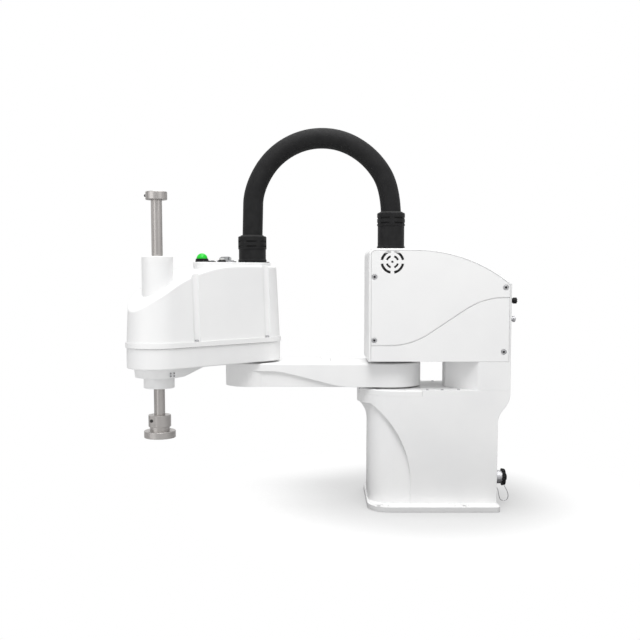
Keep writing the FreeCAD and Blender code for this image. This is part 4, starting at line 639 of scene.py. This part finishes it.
# Signal lamp: a green dome over a lit diffuser, on a black foot. The plastic is smooth and a little
# milky.
lamp_green, tree, shader, place = new_finish("lamp green", (0.01, 0.4, 0.02), 0.3)
shader.inputs["Emission Color"].default_value = (0.0, 0.6, 0.02, 1)
shader.inputs["Emission Strength"].default_value = 0.3
shader.inputs["Specular IOR Level"].default_value = 0.25
shader.inputs["Coat Weight"].default_value = 0.1
vary_colour(tree, shader, grain(tree, place, 120), (0.008, 0.34, 0.015), (0.015, 0.45, 0.03))
emboss(tree, shader, grain(tree, place, 400), 0.00004)
finish_nodes(lamp_green, "lamp_dome")

# A black screw ring holds the dome down on its foot.
low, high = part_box("lamp_dome")
inner = (high[0] - low[0]) / 2 + 0.0001
ring_section = ((0, 0), (0.0014, 0), (0.0014, 0.0016), (0.0010, 0.0021), (0, 0.0024))
ring = turned_ring([(inner + out, up) for out, up in ring_section], 48)
seat = ((low[0] + high[0]) / 2, (low[1] + high[1]) / 2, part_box("lamp_base")[1][2])
bmesh.ops.translate(ring, vec=seat, verts=ring.verts)
finished_piece("lamp_ring", ring, nylon_black, "outer_arm")


# Release button: a pale moulded cap with a faint dish, which lets the shaft's brake off by hand.
button_grey, tree, shader, place = new_finish("button grey", (0.55, 0.55, 0.54), 0.4)
vary_roughness(tree, shader, grain(tree, place, 500), 0.34, 0.46)
emboss(tree, shader, grain(tree, place, 1500), 0.00003, edge=0.0005)
finish_nodes(button_grey, "release_button")


# Vent shade: a black disc behind each round vent of the tower's covers, set in the tower just within
# the cover. It is painted shade: a dark sheet that stands for the hollow behind the vent.
vent_x, vent_level = 0.0033, 0.4765
shade_disc_radius, shade_disc_gap = 0.025, 0.0006
# Painted shade: flat black with a faint bump, so that the vent's slots look dark.
vent_shade_black, tree, shader, place = new_finish("vent painted shade", (0.012, 0.012, 0.012), 0.8)
emboss(tree, shader, grain(tree, place, 1200), 0.0002)
for name, cover, side in (
    ("vent_shade_left", "tower_cover_left", 1),
    ("vent_shade_right", "tower_cover_right", -1),
):
    low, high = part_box(cover)
    inner_face = low[1] if side > 0 else high[1]
    disc = bmesh.new()
    bmesh.ops.create_circle(disc, cap_ends=True, segments=48, radius=shade_disc_radius)
    bmesh.ops.rotate(disc, matrix=Matrix.Rotation(math.pi / 2, 3, "X"), verts=disc.verts)
    seat = (vent_x, inner_face - side * shade_disc_gap, vent_level)
    bmesh.ops.translate(disc, vec=seat, verts=disc.verts)
    bmesh.ops.solidify(disc, geom=disc.faces[:], thickness=0.0005)
    finished_piece(name, disc, vent_shade_black, "base")


# Floor and backdrop: a plain pale floor that runs to the horizon under a white sky. The camera
# sees it almost white, and it keeps the robot's soft shadow. Close to the base its colour is
# darker, which is painted shade round the base and also sends less light back up to the casting.
# An ambient occlusion node paints a soft shadow into its colour where the robot stands on it.
floor_mesh = bpy.data.meshes.new("floor")
sheet = bmesh.new()
bmesh.ops.create_grid(sheet, x_segments=1, y_segments=1, size=30)
sheet.to_mesh(floor_mesh)
sheet.free()
floor = bpy.data.objects.new("floor", floor_mesh)
bpy.context.scene.collection.objects.link(floor)
floor_pale, tree, shader, place = new_finish("floor pale", (0.58, 0.58, 0.58), 0.9)
shader.inputs["Specular IOR Level"].default_value = 0.0
seen = tree.nodes.new("ShaderNodeLightPath")
lift = tree.nodes.new("ShaderNodeMath")
lift.operation = "MULTIPLY"
lift.inputs[1].default_value = 0.52
tree.links.new(seen.outputs["Is Camera Ray"], lift.inputs[0])
paler = tree.nodes.new("ShaderNodeEmission")
tree.links.new(lift.outputs["Value"], paler.inputs["Strength"])
lifted = tree.nodes.new("ShaderNodeAddShader")
# Painted shadow: ambient occlusion darkens the floor's colour next to the robot.
painted_contact_shade = tree.nodes.new("ShaderNodeAmbientOcclusion")
painted_contact_shade.samples = 8
painted_contact_shade.inputs["Distance"].default_value = 0.1
greyer = tree.nodes.new("ShaderNodeBsdfDiffuse")
tree.links.new(painted_contact_shade.outputs["Color"], greyer.inputs["Color"])
tree.links.new(greyer.outputs["BSDF"], lifted.inputs[0])
tree.links.new(paler.outputs["Emission"], lifted.inputs[1])
from_base = tree.nodes.new("ShaderNodeMapping")
from_base.inputs["Location"].default_value = (0.07, 0, 0)
tree.links.new(place, from_base.inputs["Vector"])
distance = tree.nodes.new("ShaderNodeVectorMath")
distance.operation = "LENGTH"
tree.links.new(from_base.outputs["Vector"], distance.inputs[0])
fade = tree.nodes.new("ShaderNodeMapRange")
fade.interpolation_type = "SMOOTHSTEP"
fade.inputs["From Min"].default_value = 0.18
fade.inputs["From Max"].default_value = 0.5
tree.links.new(distance.outputs["Value"], fade.inputs["Value"])
# Painted shade round the base: the floor's colour runs from dark near the base to pale further out.
painted_shade_near_base = tree.nodes.new("ShaderNodeMapRange")
painted_shade_near_base.inputs["To Min"].default_value = 0.27
painted_shade_near_base.inputs["To Max"].default_value = 0.66
tree.links.new(fade.outputs["Result"], painted_shade_near_base.inputs["Value"])
tree.links.new(painted_shade_near_base.outputs["Result"], painted_contact_shade.inputs["Color"])
share = tree.nodes.new("ShaderNodeMath")
share.operation = "MULTIPLY"
tree.links.new(fade.outputs["Result"], share.inputs[1])
tree.links.new(seen.outputs["Is Camera Ray"], share.inputs[0])
horizon = tree.nodes.new("ShaderNodeEmission")
mixed = tree.nodes.new("ShaderNodeMixShader")
tree.links.new(share.outputs["Value"], mixed.inputs["Fac"])
tree.links.new(lifted.outputs["Shader"], mixed.inputs[1])
tree.links.new(horizon.outputs["Emission"], mixed.inputs[2])
tree.links.new(mixed.outputs["Shader"], tree.nodes["Material Output"].inputs["Surface"])
floor_mesh.materials.append(floor_pale)

world = bpy.data.worlds.new("studio")
bpy.context.scene.world = world
world.use_nodes = True
sky = world.node_tree
light = sky.nodes["Background"]
light.inputs["Color"].default_value = (1, 1, 1, 1)
light.inputs["Strength"].default_value = 0.45
white = sky.nodes.new("ShaderNodeBackground")
white.inputs["Color"].default_value = (1, 1, 1, 1)
white.inputs["Strength"].default_value = 1.0
path = sky.nodes.new("ShaderNodeLightPath")
seen = sky.nodes.new("ShaderNodeMath")
seen.operation = "MAXIMUM"
sky.links.new(path.outputs["Is Camera Ray"], seen.inputs[0])
sky.links.new(path.outputs["Is Transmission Ray"], seen.inputs[1])
mirrored = sky.nodes.new("ShaderNodeMath")
mirrored.operation = "MAXIMUM"
sky.links.new(seen.outputs["Value"], mirrored.inputs[0])
sky.links.new(path.outputs["Is Glossy Ray"], mirrored.inputs[1])
choice = sky.nodes.new("ShaderNodeMixShader")
sky.links.new(mirrored.outputs["Value"], choice.inputs["Fac"])
sky.links.new(light.outputs["Background"], choice.inputs[1])
sky.links.new(white.outputs["Background"], choice.inputs[2])
sky.links.new(choice.outputs["Shader"], sky.nodes["World Output"].inputs["Surface"])


# Lamps: a broad soft box overhead, a strong one high over the camera and a weak one on each
# side, as in a product studio.
def soft_box(name, place, aim, size, watts):
    """A square area lamp that faces its aim."""
    lamp = bpy.data.lights.new(name, "AREA")
    lamp.size = size
    lamp.energy = watts
    box = bpy.data.objects.new(name, lamp)
    box.location = place
    direction = Vector(aim) - Vector(place)
    box.rotation_euler = direction.to_track_quat("-Z", "Y").to_euler()
    bpy.context.scene.collection.objects.link(box)


middle = (0.08, 0, 0.35)
soft_box("overhead", (0.1, -0.2, 2.3), middle, 1.6, 20)
soft_box("over_camera", (0.14, 1.5, 2.9), middle, 1.5, 57)
soft_box("front_left", (1.3, 1.1, 0.5), middle, 1.0, 3.5)
soft_box("front_right", (-1.6, 1.7, 1.4), middle, 1.2, 5)

bpy.context.scene.view_settings.view_transform = "Standard"
